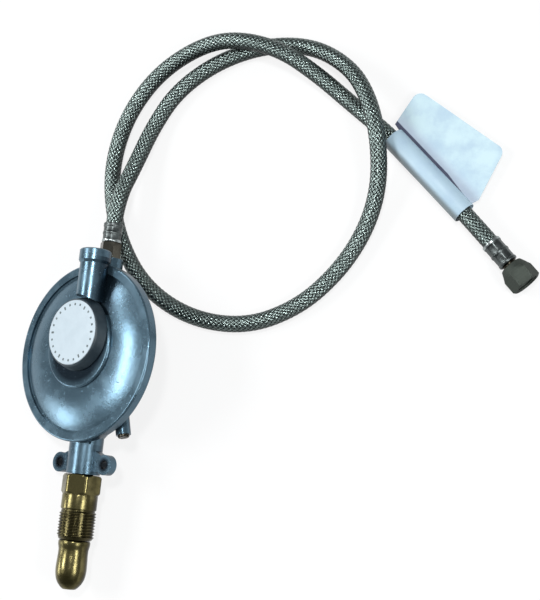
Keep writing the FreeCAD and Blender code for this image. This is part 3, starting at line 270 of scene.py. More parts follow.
# %% [markdown]
# A long soft lamp stands at the left, where the dome mirrors it along its right side. One above
# it and one below carry that light on round the dome. A small sharp lamp overhead gives the hose
# and the corners their glints, and one at the right puts a pale streak along the brass. A plain
# grey world does the rest.

# %% The light
WORLD_COLOUR = (0.93, 0.97, 1.0, 1)
WORLD_LIGHT = 0.24
LIT_CENTRE = Vector((0.1, 0.08, 0.0))
# Each lamp's name, place, width and height, and power in watts.
LAMPS = [
    ("key", (-0.68, 0.06, 0.74), (0.5, 0.22), 5.4),
    ("upper", (-0.78, 0.56, 0.42), (0.22, 0.22), 2.4),
    ("low", (-0.95, -0.24, 0.2), (0.25, 0.25), 1.8),
    ("overhead", (0.22, 0.25, 1.2), (0.14, 0.14), 6.0),
    ("right", (0.78, -0.17, 0.72), (0.3, 0.24), 4.2),
]


def make_world():
    world = bpy.data.worlds.new("room")
    world.use_nodes = True
    background = world.node_tree.nodes["Background"]
    background.inputs["Color"].default_value = WORLD_COLOUR
    background.inputs["Strength"].default_value = WORLD_LIGHT
    bpy.context.scene.world = world


def make_lamp(name, place, size, power):
    data = bpy.data.lights.new(name, "AREA")
    data.shape = "RECTANGLE"
    data.size, data.size_y = size
    data.energy = power
    aim = (LIT_CENTRE - Vector(place)).to_track_quat("-Z", "Y").to_matrix().to_4x4()
    add_object(name, data).matrix_world = Matrix.Translation(Vector(place)) @ aim


make_world()
for lamp in LAMPS:
    make_lamp(*lamp)
bpy.context.scene.view_settings.view_transform = "Standard"
print("lamps", [name for name, place, size, power in LAMPS])

# %% [markdown]
# Effects that several finishes share are shader groups, built once. Each gives values that
# change over the surface. The first is cast grain: die-cast metal under paint has a fine, soft
# orange peel with a few small pits. Noises of different size make it, at no cost in mesh.

# %% Cast grain


def make_group(name, inputs, rule):
    """A node group. inputs are its names and defaults, None for a vector, and rule takes the
    inputs as values and returns the outputs by name."""
    group = bpy.data.node_groups.new(name, "ShaderNodeTree")
    for label, default in inputs.items():
        kind = "NodeSocketVector" if default is None else "NodeSocketFloat"
        socket = group.interface.new_socket(label, in_out="INPUT", socket_type=kind)
        if default is not None:
            socket.default_value = default
    source = group.nodes.new("NodeGroupInput")
    results = rule(*(Value(group, socket) for socket in source.outputs[:len(inputs)]))
    for label in results:
        group.interface.new_socket(label, in_out="OUTPUT", socket_type="NodeSocketFloat")
    sink = group.nodes.new("NodeGroupOutput")
    for label, value in results.items():
        feed(group, sink.inputs[label], value)
    print("group", name, "from", ", ".join(inputs), "gives", ", ".join(results))
    return group


def cast_grain(vector, scale):
    coarse = noise(vector, scale * 0.35)
    fine = noise(vector, scale, detail=3.0)
    pits = noise(vector, scale * 0.6, detail=1.0).step(0.68, 0.78)
    return {"Peel": coarse * 0.6 + fine * 0.4, "Pits": pits}


CAST_GRAIN = make_group("cast_grain", {"Vector": None, "Scale": 900.0}, cast_grain)

# %% [markdown]
# Turning marks: a lathe leaves fine rings round the axis of a piece. A noise squeezed along the
# axis gives uneven rings, and its input is the distance along that axis only.

# %% Turning marks


def turning_marks(vector, axis, rings):
    height = vector_maths("DOT_PRODUCT", vector, axis, "Value")
    inputs = {"W": height, "Scale": rings, "Detail": 3.0}
    return {"Rings": add_node(vector.tree, "TexNoise", inputs, "Fac", noise_dimensions="1D")}


TURNING_MARKS = make_group(
    "turning_marks", {"Vector": None, "Axis": None, "Rings per metre": 2500.0}, turning_marks
)

# %% [markdown]
# Handling marks: metal and plastic that has been touched is a little duller in cloudy patches,
# with a few fine scratches. They mostly change the roughness.

# %% Handling marks
SCRATCH_STRETCH = (1500, 180, 900)


def handling_marks(vector, patch_scale):
    patches = noise(vector, patch_scale, detail=4.0, roughness=0.6).step(0.35, 0.7)
    stretched = vector_maths("MULTIPLY", vector, SCRATCH_STRETCH)
    return {"Patches": patches, "Scratches": noise(stretched, 1.0, detail=1.0).step(0.7, 0.78)}


HANDLING = make_group("handling_marks", {"Vector": None, "Patch scale": 60.0}, handling_marks)

# %% [markdown]
# Round marks: painted shade on a hole's wall and on the flat under a cap, and a ring of painted
# highlight on a sleeve. The mark is a short cylinder in space, given by its centre, axis and radius,
# so it needs no unwrapping and lies where the shape puts it.

# %% Round marks


def round_mark(vector, centre, axis, radius, half_height, fade):
    away = vector_maths("SUBTRACT", vector, centre)
    height = maths("ABSOLUTE", vector_maths("DOT_PRODUCT", away, axis, "Value"))
    across = vector_maths("CROSS_PRODUCT", away, axis)
    room = radius - vector_maths("LENGTH", across, output="Value")
    inside = maths("MAXIMUM", maths("MINIMUM", room / fade, 1.0), 0.0)
    return {"Mask": inside * maths("LESS_THAN", height, half_height)}


ROUND_MARK = make_group(
    "round_mark",
    {
        "Vector": None, "Centre": None, "Axis": None,
        "Radius": 0.003, "Half height": 0.001, "Fade": 0.0003,
    },
    round_mark,
)

# %% [markdown]
# Every finish starts from one Principled shader, and from object coordinates, which are the
# frame's coordinates in metres. A finish can be given painted shade where it faces the ground,
# by the height of the surface's normal.

# %% The start of a finish
SHADE_SPAN = (0.0, 0.6)


class Finish:
    """A material under construction, with its shader and its object coordinates."""

    def __init__(self, name, roughness, metallic=0.0):
        self.material, self.shader = new_material(name, roughness, metallic)
        self.tree = self.material.node_tree
        self.place = add_node(self.tree, "TexCoord", output="Object")
        print("finish", name)

    def effect(self, group, **inputs):
        """Places a shader group. Its inputs are named with _ for a space."""
        named = {label.replace("_", " "): source for label, source in inputs.items()}
        return add_node(self.tree, "Group", {"Vector": self.place, **named}, node_tree=group)

    def round_mark(self, centre, axis, radius, half_height, fade):
        """The mask of a round mark with its sizes in millimetres."""
        return self.effect(
            ROUND_MARK, Centre=centre, Axis=axis,
            Radius=radius * MM, Half_height=half_height * MM, Fade=fade * MM,
        )

    def shaded_below(self, colour, shade_colour, depth, span=SHADE_SPAN):
        """The colour with painted shade where the surface faces down. The shade's share is depth,
        and it fades out while the height of the surface's normal goes through span."""
        upward = add_node(self.tree, "SeparateXYZ", {0: self.place["Normal"]}, "Z").step(*span)
        return mix((1.0 - upward) * depth, colour, shade_colour)

    def colour(self, value):
        feed(self.tree, self.shader.inputs["Base Color"], value)

    def vary_roughness(self, mask, low, high):
        inputs = {"Value": mask, "To Min": low, "To Max": high}
        spread = add_node(self.tree, "MapRange", inputs, "Result")
        feed(self.tree, self.shader.inputs["Roughness"], spread)

    def bump(self, height, strength, distance):
        inputs = {"Height": height, "Strength": strength, "Distance": distance * MM}
        feed(self.tree, self.shader.inputs["Normal"], add_node(self.tree, "Bump", inputs, "Normal"))


# %% [markdown]
# The castings are painted a metallic blue grey: flakes in the paint make it half a metal, so it
# mirrors the soft lamp broadly. The grain lightens and darkens it a little.

# %% Paint on the castings
PAINT_DARK = (0.066, 0.122, 0.166, 1)
PAINT_LIGHT = (0.13, 0.213, 0.272, 1)
PAINTED_SHADE = (0.008, 0.018, 0.03, 1)
HOLE_SHADE = (0.0015, 0.003, 0.005, 1)
GAS_AXIS = (0.0, 1.0, 0.0)


def make_cast_paint(name, shade_places):
    """Each shade place is a round mark's values, and then its depth and the colour of its painted shade."""
    finish = Finish(name, 0.28, metallic=0.8)
    grain = finish.effect(CAST_GRAIN, Scale=1100.0)
    patches = finish.effect(HANDLING, Patch_scale=45.0)["Patches"]
    shade = grain["Peel"] * 0.6 + patches * 0.4
    # Painted shade where the casting faces the ground, and then at each round mark.
    colour = finish.shaded_below(mix(shade, PAINT_DARK, PAINT_LIGHT), PAINTED_SHADE, 0.7)
    for *mark, depth, dark in shade_places:
        colour = mix(finish.round_mark(*mark) * depth, colour, dark)
    finish.colour(colour)
    finish.vary_roughness(patches, 0.24, 0.34)
    finish.bump(grain["Peel"] - grain["Pits"], 0.45, 0.15)
    return finish.material


# Painted shade round the ear holes, and near black painted shade on their walls.
EAR_HOLES = [MOUNTS["ear_hole_left"], MOUNTS["ear_hole_right"]]
EAR_HOLE_SHADES = [
    (hole["pos_m"], hole["axis"], radius, 4.0, fade, 1.0, shade)
    for radius, fade, shade in ((5.0, 1.8, PAINTED_SHADE), (3.0, 0.3, HOLE_SHADE))
    for hole in EAR_HOLES
]
# Painted shadow of the cap on the flat step round its foot.
STEP_SHADOW = (on_cover(0, 3.5, 8.2).translation, COVER_AXIS, 26.6, 0.2, 5.0, 0.95, PAINTED_SHADE)
# Painted shade on the vent tube's flank and round its foot.
VENT_SHADE = (on_cover(15.5, 40, 4).translation, GAS_AXIS, 12.0, 18.0, 7.0, 0.85, PAINTED_SHADE)
# Painted shade round the casting's neck.
NECK_SHADE = (on_passage(66, True).translation, GAS_AXIS, 24.0, 9.5, 6.0, 0.3, PAINTED_SHADE)
BODY_PAINT = make_cast_paint("body_paint", EAR_HOLE_SHADES + [NECK_SHADE])
COVER_PAINT = make_cast_paint("cover_paint", [STEP_SHADOW, VENT_SHADE])

# %% [markdown]
# Moulded plastic, a printed label and rubber are plain materials in two close colours, which
# the handling patches mix. The cap is a dark grey moulding with a satin skin and a fine texture.

# %% Plastic of the cap


def make_plain(name, roughness, colours, patch_scale, share=1.0, spread=None, grain=None):
    """share is how far the patches reach the second colour, spread the least and the most
    roughness, and grain the scale, strength and depth in millimetres of the relief."""
    finish = Finish(name, roughness)
    patches = finish.effect(HANDLING, Patch_scale=patch_scale)["Patches"]
    finish.colour(mix(patches * share, *colours))
    if spread:
        finish.vary_roughness(patches, *spread)
    if grain:
        scale, strength, depth = grain
        finish.bump(finish.effect(CAST_GRAIN, Scale=scale)["Peel"], strength, depth)
    return finish.material


CAP_COLOURS = ((0.016, 0.028, 0.038, 1), (0.034, 0.054, 0.068, 1))
CAP_PLASTIC = make_plain(
    "cap_plastic", 0.42, CAP_COLOURS, 70.0, spread=(0.36, 0.5), grain=(2600.0, 0.25, 0.06)
)

# %% [markdown]
# The label is a printed polyester disc: white, smooth and slightly glossy, with faint dust. Its
# ink is dark and a little worn.

# %% Label and ink
LABEL_COLOURS = ((0.46, 0.545, 0.6, 1), (0.34, 0.42, 0.48, 1))
INK_COLOURS = ((0.05, 0.07, 0.075, 1), (0.2, 0.25, 0.26, 1))
LABEL = make_plain(
    "label", 0.42, LABEL_COLOURS, 110.0, share=0.35, spread=(0.36, 0.5), grain=(3200.0, 0.12, 0.03)
)
INK = make_plain("ink", 0.45, INK_COLOURS, 400.0, share=0.5)

# %% [markdown]
# Black rubber is matt with a fine bloom.

# %% Rubber
RUBBER_COLOURS = ((0.012, 0.012, 0.013, 1), (0.03, 0.03, 0.032, 1))
RUBBER = make_plain("rubber", 0.7, RUBBER_COLOURS, 150.0, grain=(3000.0, 0.3, 0.05))

# %% [markdown]
# Machined brass: dull olive gold that has darkened where it was handled, with fine rings from
# the lathe. Tarnish follows the handling patches, and bright metal is left on the ridges.

# %% Brass
BRASS_BRIGHT = (0.2, 0.175, 0.078, 1)
BRASS_DULL = (0.048, 0.042, 0.016, 1)
BRASS_SHADE = (0.02, 0.016, 0.01, 1)
THREAD_SHADE = (on_passage(105.65, True).translation, GAS_AXIS, 13.0, 9.1, 1.0)


def make_brass(name, axis=GAS_AXIS, bright=BRASS_BRIGHT, dull=BRASS_DULL):
    """Painted shade sits on what faces the ground and, thinner, in the bottle nut's thread."""
    finish = Finish(name, 0.3, metallic=1.0)
    patches = finish.effect(HANDLING, Patch_scale=85.0)["Patches"]
    rings = finish.effect(TURNING_MARKS, Axis=axis, Rings_per_metre=2600.0)
    shade = patches * 0.75 + rings * 0.35
    # Painted shade where the brass faces the ground.
    colour = finish.shaded_below(mix(shade, bright, dull), BRASS_SHADE, 0.8)
    # Thinner painted shade in the bottle nut's thread.
    finish.colour(mix(finish.round_mark(*THREAD_SHADE) * 0.45, colour, BRASS_SHADE))
    finish.vary_roughness(patches, 0.2, 0.36)
    finish.bump(rings, 0.3, 0.08)
    return finish.material


BRASS = make_brass("brass")
# A copy of the brass darkened as painted shade, for the outlet fitting and the test plug.
SHADED_BRASS = make_brass("shaded_brass", bright=(0.12, 0.115, 0.095, 1), dull=(0.042, 0.04, 0.034, 1))
INNER_BRASS = make_brass(
    "inner_brass", FAR_AXIS, bright=(0.05, 0.045, 0.032, 1), dull=(0.02, 0.018, 0.014, 1)
)

# %% [markdown]
# Steel comes in three colours here: plain inner parts, pressed sleeves and a dark plated nut.
# They differ in their two colours, in how rough they are and in how fine their rings are.

# %% Steel
STEEL_SHADE = (0.012, 0.014, 0.014, 1)
LIP_HIGHLIGHT = (0.36, 0.4, 0.4, 1)


def make_steel(name, dark, light, axis, roughness, rings=2200.0, relief=0.05, lip=None):
    """relief is the rings' depth in millimetres, and lip the centre of a ring of painted highlight."""
    finish = Finish(name, roughness, metallic=1.0)
    marks = finish.effect(HANDLING, Patch_scale=120.0)
    turned = finish.effect(TURNING_MARKS, Axis=axis, Rings_per_metre=rings)
    shade = (turned + marks["Patches"]) * 0.5
    # Painted shade where the steel faces the ground.
    colour = finish.shaded_below(mix(shade, dark, light), STEEL_SHADE, 0.7)
    if lip:
        # A ring of painted highlight round the sleeve's end.
        colour = mix(finish.round_mark(lip, axis, 12.0, 0.8, 1.0), colour, LIP_HIGHLIGHT)
    finish.colour(colour)
    finish.vary_roughness(marks["Patches"], roughness - 0.06, roughness + 0.1)
    finish.bump(turned - marks["Scratches"], 0.3, relief)
    return finish.material


STEEL = make_steel("steel", (0.3, 0.31, 0.32, 1), (0.55, 0.56, 0.57, 1), GAS_AXIS, 0.35)
DARK_NUT = make_steel(
    "dark_nut", (0.062, 0.073, 0.064, 1), (0.1, 0.115, 0.102, 1), FAR_AXIS, 0.68, 1500.0, 0.08
)

# %% [markdown]
# The frame's own solids already have the right shapes for the castings, the inner parts and the
# fittings that the hose is pushed onto. They stay, and only get these finishes.

# %% Finishes on the frame's solids
KEPT_NODES = {
    "lower_body": BODY_PAINT, "cover": COVER_PAINT, "vent_screen": STEEL, "test_plug": SHADED_BRASS,
    "adjusting_screw": BRASS, "spring_seat": STEEL, "main_spring": STEEL,
    "diaphragm_plate": STEEL, "diaphragm": RUBBER, "diaphragm_stem": BRASS, "lever": STEEL,
    "lever_pin": STEEL, "valve_plunger": BRASS, "valve_pad": RUBBER, "inlet_seat": BRASS,
    "inlet_filter": BRASS, "outlet_nipple": SHADED_BRASS, "far_tail": INNER_BRASS,
}

for node, material in KEPT_NODES.items():
    NODES[node].data.materials.clear()
    NODES[node].data.materials.append(material)
print("kept solids", len(KEPT_NODES))

# %% [markdown]
# Turned pieces, from the cap to the far nut, are outlines swept round an axis. Every corner of
# an outline is first rounded a little, because no real edge is perfectly sharp and light
# catches on the rounding. A rule can then change the radius from angle to angle, which turns a
# round bar into a hexagon or cuts a thread into it.

# %% Turned pieces
SOFTEST_SHARE = 0.45
ROUNDING_STEPS = 3


def soften(outline, rounding):
    """Rounds the inner corners of an open outline of (radius, height) points."""
    points = [Vector(point) for point in outline]
    soft = [points[0]]
    for before, corner, after in zip(points, points[1:], points[2:]):
        back, ahead = before - corner, after - corner
        reach = min(rounding, SOFTEST_SHARE * back.length, SOFTEST_SHARE * ahead.length)
        start = corner + back.normalized() * reach
        end = corner + ahead.normalized() * reach
        for step in range(ROUNDING_STEPS + 1):
            share = step / ROUNDING_STEPS
            soft.append(start.lerp(corner, share).lerp(corner.lerp(end, share), share))
    soft.append(points[-1])
    return soft


def polar(radius, angle, height):
    """A point given in millimetres round the Z of a frame."""
    return Vector((radius * math.cos(angle), radius * math.sin(angle), height)) * MM


def ring_faces(rows, segments, closed=False):
    """The quads between rows of points; closed joins the last row to the first."""
    faces = []
    for row in range(rows if closed else rows - 1):
        up = ((row + 1) % rows - row) * segments
        for step in range(segments):
            a = row * segments + step
            b = row * segments + (step + 1) % segments
            faces.append((a, b, b + up, a + up))
    return faces


def finish_mesh(name, vertices, faces, material, body, sharp=35.0):
    """Makes an object of a mesh, smooth except at sharp edges, and puts it on its body."""
    mesh = bpy.data.meshes.new(name)
    mesh.from_pydata(vertices, [], faces)
    mesh.validate()
    mesh.shade_smooth()
    mesh.set_sharp_from_angle(angle=math.radians(sharp))
    mesh.materials.append(material)
    piece = add_object(name, mesh)
    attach(piece, body)
    print(name, "faces", len(mesh.polygons), "on", body)
    return piece


def turn(
    name, node, outline, place, material, body, slot, segments=96, rounding=0.3, rule=None, sharp=35.0
):
    """Sweeps an outline round a frame's Z and puts it in place of one of the frame's solids."""
    rows = soften(outline, rounding)
    vertices = []
    for radius, height in rows:
        for step in range(segments):
            angle = FULL_TURN * step / segments
            reach = rule(radius, height, angle) if rule else radius
            vertices.append(place @ polar(reach, angle, height))
    faces = ring_faces(len(rows), segments)
    piece = finish_mesh(name, vertices, faces, material, body, sharp)
    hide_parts(node)
    return piece


def ring_outline(*points):
    """A closed outline, for a piece with a hole through it."""
    return list(points) + [points[0]]


# %% [markdown]
# The cap over the tower: a dark cup, a little wider at its foot, with a rounded upper edge and
# a shallow recess for the label.

# %% Tower cap
TOWER_PLACE = on_cover(x=1.5, y=10.0)
CAP_RADIUS, CAP_FOOT = 21.8, 23.3
CAP_LOW, CAP_TOP = 8.5, 15.6
CAP_ROOM, CAP_ROOF = 19.5, 13.95
RECESS_RADIUS, RECESS_FLOOR = 20.2, 15.2
CAP_OUTLINE = [
    (0, CAP_ROOF), (CAP_ROOM, CAP_ROOF), (CAP_ROOM, CAP_LOW), (CAP_FOOT - 0.3, CAP_LOW),
    (CAP_FOOT - 0.2, CAP_LOW + 0.5), (CAP_RADIUS - 0.05, 13.2), (CAP_RADIUS - 0.25, 13.9),
    (CAP_RADIUS - 0.6, 15.1), (CAP_RADIUS - 1.2, CAP_TOP), (RECESS_RADIUS + 0.05, CAP_TOP),
    (RECESS_RADIUS, RECESS_FLOOR), (0, RECESS_FLOOR),
]

turn(
    "cap_moulding", "tower_cap", CAP_OUTLINE, TOWER_PLACE, CAP_PLASTIC, "cap", "cap_plastic",
    segments=128, rounding=0.5,
)

# %% [markdown]
# The round label: a thin disc with a rounded edge, left blank, with a ring of small plain ticks
# near its edge as such labels have.

# %% Label disc
LABEL_RADIUS = 20.15
LABEL_LOW, LABEL_TOP = 15.25, 15.9
LABEL_OUTLINE = [(0, LABEL_LOW), (LABEL_RADIUS, LABEL_LOW), (LABEL_RADIUS, LABEL_TOP), (0, LABEL_TOP)]
TICK_RING = 18.2
TICK_COUNT = 24
TICK_HALF_ANGLE = 0.036
TICK_LENGTH, LONG_TICK_LENGTH = 1.4, 2.2
INK_LIFT = 0.012


def make_ticks():
    """Small printed marks in a ring, a hair above the label. Every fourth is longer."""
    vertices, faces = [], []
    for count in range(TICK_COUNT):
        middle = FULL_TURN * count / TICK_COUNT
        inner = TICK_RING - (TICK_LENGTH if count % 4 else LONG_TICK_LENGTH)
        for reach, side in ((TICK_RING, -1), (TICK_RING, 1), (inner, 1), (inner, -1)):
            point = polar(reach, middle + side * TICK_HALF_ANGLE, LABEL_TOP + INK_LIFT)
            vertices.append(TOWER_PLACE @ point)
        faces.append(tuple(range(4 * count, 4 * count + 4)))
    return finish_mesh("label_ticks", vertices, faces, INK, "cap")


turn(
    "label_face", "label_disc", LABEL_OUTLINE, TOWER_PLACE, LABEL, "cap", "label",
    segments=128, rounding=0.22,
)
make_ticks()

# %% [markdown]
# The brass nut is one bar with three stretches: a hexagon for the spanner, a plain collar and
# the thread. One outline makes all of it, and the rule below flattens the first stretch into
# six sides and winds a groove round the last. The bevels at the hexagon's ends come from the
# outline itself: the smallest of the radii wins.

# %% Brass bottle nut
NUT_START = 75.1
NUT_FLATS = 22.0
WORN_CORNER = 12.3
NUT_COLLAR = 11.0
NUT_NECK = 10.3
NUT_BORE = 6.6
NUT_HEX_END, NUT_COLLAR_END, NUT_END = 12.2, 21.4, 39.7
NUT_THREAD = 11.24
THREAD_START, THREAD_END = NUT_COLLAR_END + 1.8, NUT_END - 1.9
THREAD_PITCH = 1.8
THREAD_DEPTH = 0.75
THREAD_ROW = 0.15


def hexagon_reach(flats, angle):
    """Distance to the side of a hexagon with a flat facing angle 0."""
    sector = math.radians(60)
    return flats / 2 / math.cos((angle + sector / 2) % sector - sector / 2)


def nut_rule(radius, height, angle):
    if height <= NUT_HEX_END and radius > NUT_COLLAR - 0.05:
        return min(radius, hexagon_reach(NUT_FLATS, angle), WORN_CORNER)
    if NUT_COLLAR_END + 1.6 < height < NUT_END - 0.6 and radius > 9.0:
        turn = (height / THREAD_PITCH - angle / FULL_TURN) % 1.0
        groove = max(0.0, 1.0 - abs(turn - 0.5) / 0.36)
        return radius - THREAD_DEPTH * min(1.0, groove * 1.3)
    return radius


def even_rows(radius, start, end, rows):
    """Rows of an outline close enough together for a thread."""
    return [(radius, start + (end - start) * row / rows) for row in range(rows + 1)]


CORNER = NUT_FLATS / math.sqrt(3)
THREAD_ROWS = int((THREAD_END - THREAD_START) / THREAD_ROW)
NUT_OUTLINE = ring_outline(
    (NUT_BORE, 0), (10.4, 0), (11.2, 0.25), (CORNER, 1.5), (CORNER, NUT_HEX_END - 1.5),
    (11.2, NUT_HEX_END - 0.25), (10.9, NUT_HEX_END), (10.9, NUT_HEX_END + 0.3),
    (NUT_COLLAR, NUT_HEX_END + 0.6), (NUT_COLLAR, NUT_COLLAR_END - 0.5), (10.6, NUT_COLLAR_END),
    (NUT_NECK, NUT_COLLAR_END), (NUT_NECK, NUT_COLLAR_END + 0.9),
    *even_rows(NUT_THREAD, THREAD_START, THREAD_END, THREAD_ROWS),
    (9.9, NUT_END - 0.15), (9.7, NUT_END), (NUT_BORE, NUT_END),
)

turn(
    "bottle_nut_brass", "pol_nut", NUT_OUTLINE, on_passage(NUT_START, True), BRASS,
    "bottle_nut", "brass", segments=144, rounding=0.25, rule=nut_rule, sharp=36,
)

# %% [markdown]
# The bullet-nosed nipple runs through the nut and is screwed into the casting's neck. Its nose
# has a shoulder, a waist and a bulb that seals in the bottle.

# %% Brass nipple
NIPPLE_START = 74.7
NIPPLE_BACK = -14.5
NOSE_START = 40.4
NOSE_TIP = NOSE_START + 29.2
NIPPLE_BORE, NIPPLE_STEM, SHOULDER = 2.8, 6.5, 9.8
# The bulb's radius at each distance from the nose's start.
BULB = [
    (9.1, 5.4), (9.1, 8.5), (9.35, 12.5), (9.5, 17.2), (9.3, 20.2), (8.6, 23.2), (7.3, 25.9),
    (5.5, 28.0),
]
NIPPLE_OUTLINE = ring_outline(
    (NIPPLE_BORE, NIPPLE_BACK), (6.0, NIPPLE_BACK), (6.78, NIPPLE_BACK + 1.0), (6.78, 0),
    (NIPPLE_STEM, 0.2), (NIPPLE_STEM, NOSE_START), (SHOULDER - 0.5, NOSE_START),
    (SHOULDER, NOSE_START + 0.6), (SHOULDER, NOSE_START + 2.5),
    *((radius, NOSE_START + height) for radius, height in BULB),
    (4.0, NOSE_TIP), (3.4, NOSE_TIP), (NIPPLE_BORE, NOSE_TIP - 0.9),
)

turn(
    "nose_brass", "pol_nipple", NIPPLE_OUTLINE, on_passage(NIPPLE_START, True), BRASS,
    "regulator", "brass", rounding=0.9, sharp=40,
)

# %% [markdown]
# Crimped sleeves: a press closes the sleeve with eight jaws, so it has flat facets with round
# ridges between them. The rule below makes the facets in the pressed stretches only. The steel is
# dull, with a ring of painted highlight round one end.

# %% Crimped ferrules
JAWS = 8
FACET_DEPTH = 0.42
FERRULE_RADIUS = 6.2
FERRULE_BORE = 5.33
STEM_HOLE = 4.65
END_WALL = 4.02
PRESSED = FERRULE_RADIUS - 0.5
CRIMP_DARK = (0.06, 0.07, 0.07, 1)
CRIMP_LIGHT = (0.16, 0.18, 0.18, 1)


def crimp_rule(radius, height, angle):
    """Flat facets wherever the sleeve is pressed below its full radius."""
    if 5.45 < radius < FERRULE_RADIUS - 0.2:
        sector = FULL_TURN / JAWS
        flat = math.cos((angle % sector) - sector / 2)
        return radius + FACET_DEPTH - FACET_DEPTH * flat**6
    return radius


def ferrule_outline(length):
    full, third = FERRULE_RADIUS, (length - 4.0) / 2
    return ring_outline(
        (STEM_HOLE, 0), (5.4, 0), (full, 0.7), (full, 1.8), (PRESSED, 2.4),
        (PRESSED, third + 0.8), (full, third + 1.4), (full, third + 2.4), (PRESSED, third + 3.0),
        (PRESSED, length - 2.7), (full, length - 2.1), (full, length - 0.4), (full - 0.4, length),
        (FERRULE_BORE, length), (FERRULE_BORE, END_WALL), (STEM_HOLE, END_WALL),
    )


def make_ferrule(name, node, length, place, highlight_height):
    """The last argument is the height of the ring of painted highlight over the sleeve's own start."""
    axis = place.to_3x3() @ Vector((0, 0, 1))
    lip = tuple(place @ Vector((0, 0, highlight_height * MM)))
    steel = make_steel(name, CRIMP_DARK, CRIMP_LIGHT, axis, 0.34, lip=lip)
    return turn(
        name, node, ferrule_outline(length), place, steel, "regulator", "crimp",
        rounding=0.35, rule=crimp_rule,
    )


NEAR_PLACE = on_passage(72.0, False)
FAR_PLACE = on_far_end(-1.5) @ Matrix.Rotation(math.pi, 4, "X")
make_ferrule("near_sleeve", "near_ferrule", 13.0, NEAR_PLACE, 1.2)
far_ferrule = make_ferrule("far_sleeve", "far_ferrule", 17.3, FAR_PLACE, 16.1)

# %% [markdown]
# The nut at the far end: a hexagon whose hose side narrows to a cone, hollow, with a fine
# thread inside. It is made like the brass nut.

# %% Far nut
FAR_FLATS = 17.0
FAR_BORE = 6.6
FAR_NECK = 4.9
FAR_RELIEF = 7.1
FAR_PITCH = 1.2
FAR_THREAD_DEPTH = 0.4


def far_nut_rule(radius, height, angle):
    if radius > 8.3:
        return min(radius, hexagon_reach(FAR_FLATS, angle))
    if FAR_BORE - 0.1 < radius < FAR_BORE + 0.1 and 8.0 < height < 14.6:
        turn = (height / FAR_PITCH + angle / FULL_TURN) % 1.0
        return radius + FAR_THREAD_DEPTH * abs(2 * turn - 1)
    return radius


FAR_CORNER = FAR_FLATS / math.sqrt(3)
FAR_NUT_OUTLINE = ring_outline(
    (FAR_NECK, 0), (6.5, 0), (7.0, 0.4), (8.4, 3.6), (FAR_CORNER, 6.4), (FAR_CORNER, 14.1),
    (8.75, 14.85), (8.4, FAR_NUT_LENGTH), (7.3, FAR_NUT_LENGTH),
    *even_rows(FAR_BORE, 14.2, 8.2, 30),
    (FAR_RELIEF, 8.0), (FAR_RELIEF, 3.4), (FAR_NECK, 3.4),
)

far_nut = turn(
    "far_nut_steel", "swivel_nut", FAR_NUT_OUTLINE, on_far_end(0), DARK_NUT,
    "far_nut", "dark_nut", segments=144, rule=far_nut_rule, sharp=28,
)

# %% [markdown]
# The hose's route is a list of points, the same points as in the solid. A NURBS spline of order 3
# rounds them into one smooth line, and the tube then follows that line.

# %% The hose's route
ROUTE = [
    (0.00396, 0.1049, 0.0175),
    (0.00396, 0.1290, 0.0175),
    (0.0110, 0.1560, 0.0100),
    (0.0182, 0.1830, 0.0054),
    (0.0320, 0.2085, 0.0054),
    (0.0580, 0.2295, 0.0054),
    (0.0900, 0.2410, 0.0054),
    (0.1220, 0.2395, 0.0075),
    (0.1480, 0.2230, 0.0135),
    (0.1620, 0.2015, 0.0184),
    (0.1700, 0.1760, 0.0184),
    (0.1720, 0.1470, 0.0100),
    (0.1650, 0.1190, 0.0054),
    (0.1500, 0.0920, 0.0054),
    (0.1270, 0.0685, 0.0054),
    (0.0945, 0.0542, 0.0054),
    (0.0565, 0.0578, 0.0054),
    (0.0235, 0.0773, 0.0054),
    (0.0028, 0.1090, 0.0054),
    (-0.0060, 0.1420, 0.0054),
    (-0.0055, 0.1705, 0.0054),
    (0.0030, 0.1980, 0.0054),
    (0.0205, 0.2225, 0.0065),
    (0.0480, 0.2380, 0.0120),
    (0.0730, 0.2405, 0.0172),
    (0.1020, 0.2335, 0.0172),
    (0.1265, 0.2190, 0.0110),
    (0.1500, 0.2010, 0.0062),
    (0.1750, 0.1815, 0.0061),
    (0.2000, 0.1575, 0.0062),
    (0.2260, 0.1315, 0.0085),
    (0.2510, 0.1050, 0.0085),
]
SPLINE_RESOLUTION = 24
HOSE_RADIUS = 5.3 * MM
HOSE_STEP = 0.55 * MM


def spline_line(points):
    """Points along a smooth NURBS line through the middle of a route."""
    curve = bpy.data.curves.new("route", "CURVE")
    curve.dimensions = "3D"
    curve.resolution_u = SPLINE_RESOLUTION
    spline = curve.splines.new("NURBS")
    spline.points.add(len(points) - 1)
    for point, place in zip(spline.points, points):
        point.co = (*place, 1.0)
    spline.order_u = 3
    spline.use_endpoint_u = True
    holder = bpy.data.objects.new("route", curve)
    mesh = bpy.data.meshes.new_from_object(holder)
    line = np.array([tuple(vertex.co) for vertex in mesh.vertices])
    bpy.data.objects.remove(holder)
    bpy.data.meshes.remove(mesh)
    bpy.data.curves.remove(curve)
    return line


def even_steps(line, step):
    """The same line with points a fixed distance apart, and each point's distance along it."""
    gaps = np.linalg.norm(np.diff(line, axis=0), axis=1)
    distance = np.concatenate([[0.0], np.cumsum(gaps)])
    count = int(round(distance[-1] / step))
    wanted = np.linspace(0.0, distance[-1], count + 1)
    points = [np.interp(wanted, distance, line[:, axis]) for axis in range(3)]
    return np.stack(points, axis=1), wanted


line_points, line_distance = even_steps(spline_line(ROUTE), HOSE_STEP)
print("hose length %.4f m, lowest %.4f m" % (line_distance[-1], line_points[:, 2].min()))

# %% [markdown]
# The braid: twelve flat strands of fine steel wire wind each way round the hose, and pass over
# and under each other. The same rule is used twice. In the mesh it lifts each strand where it
# lies on top, and in the finish it darkens the gaps and draws the single wires.
# Round the hose, strand numbers rise and fall: a for one hand and b for the other.

# %% The braid's tube
STRANDS = 12
WIRES = 5
BRAID_PITCH = 3.3 * MM
BRAID_RELIEF = 0.34 * MM
CROWN = 1.6
SIDES = 72


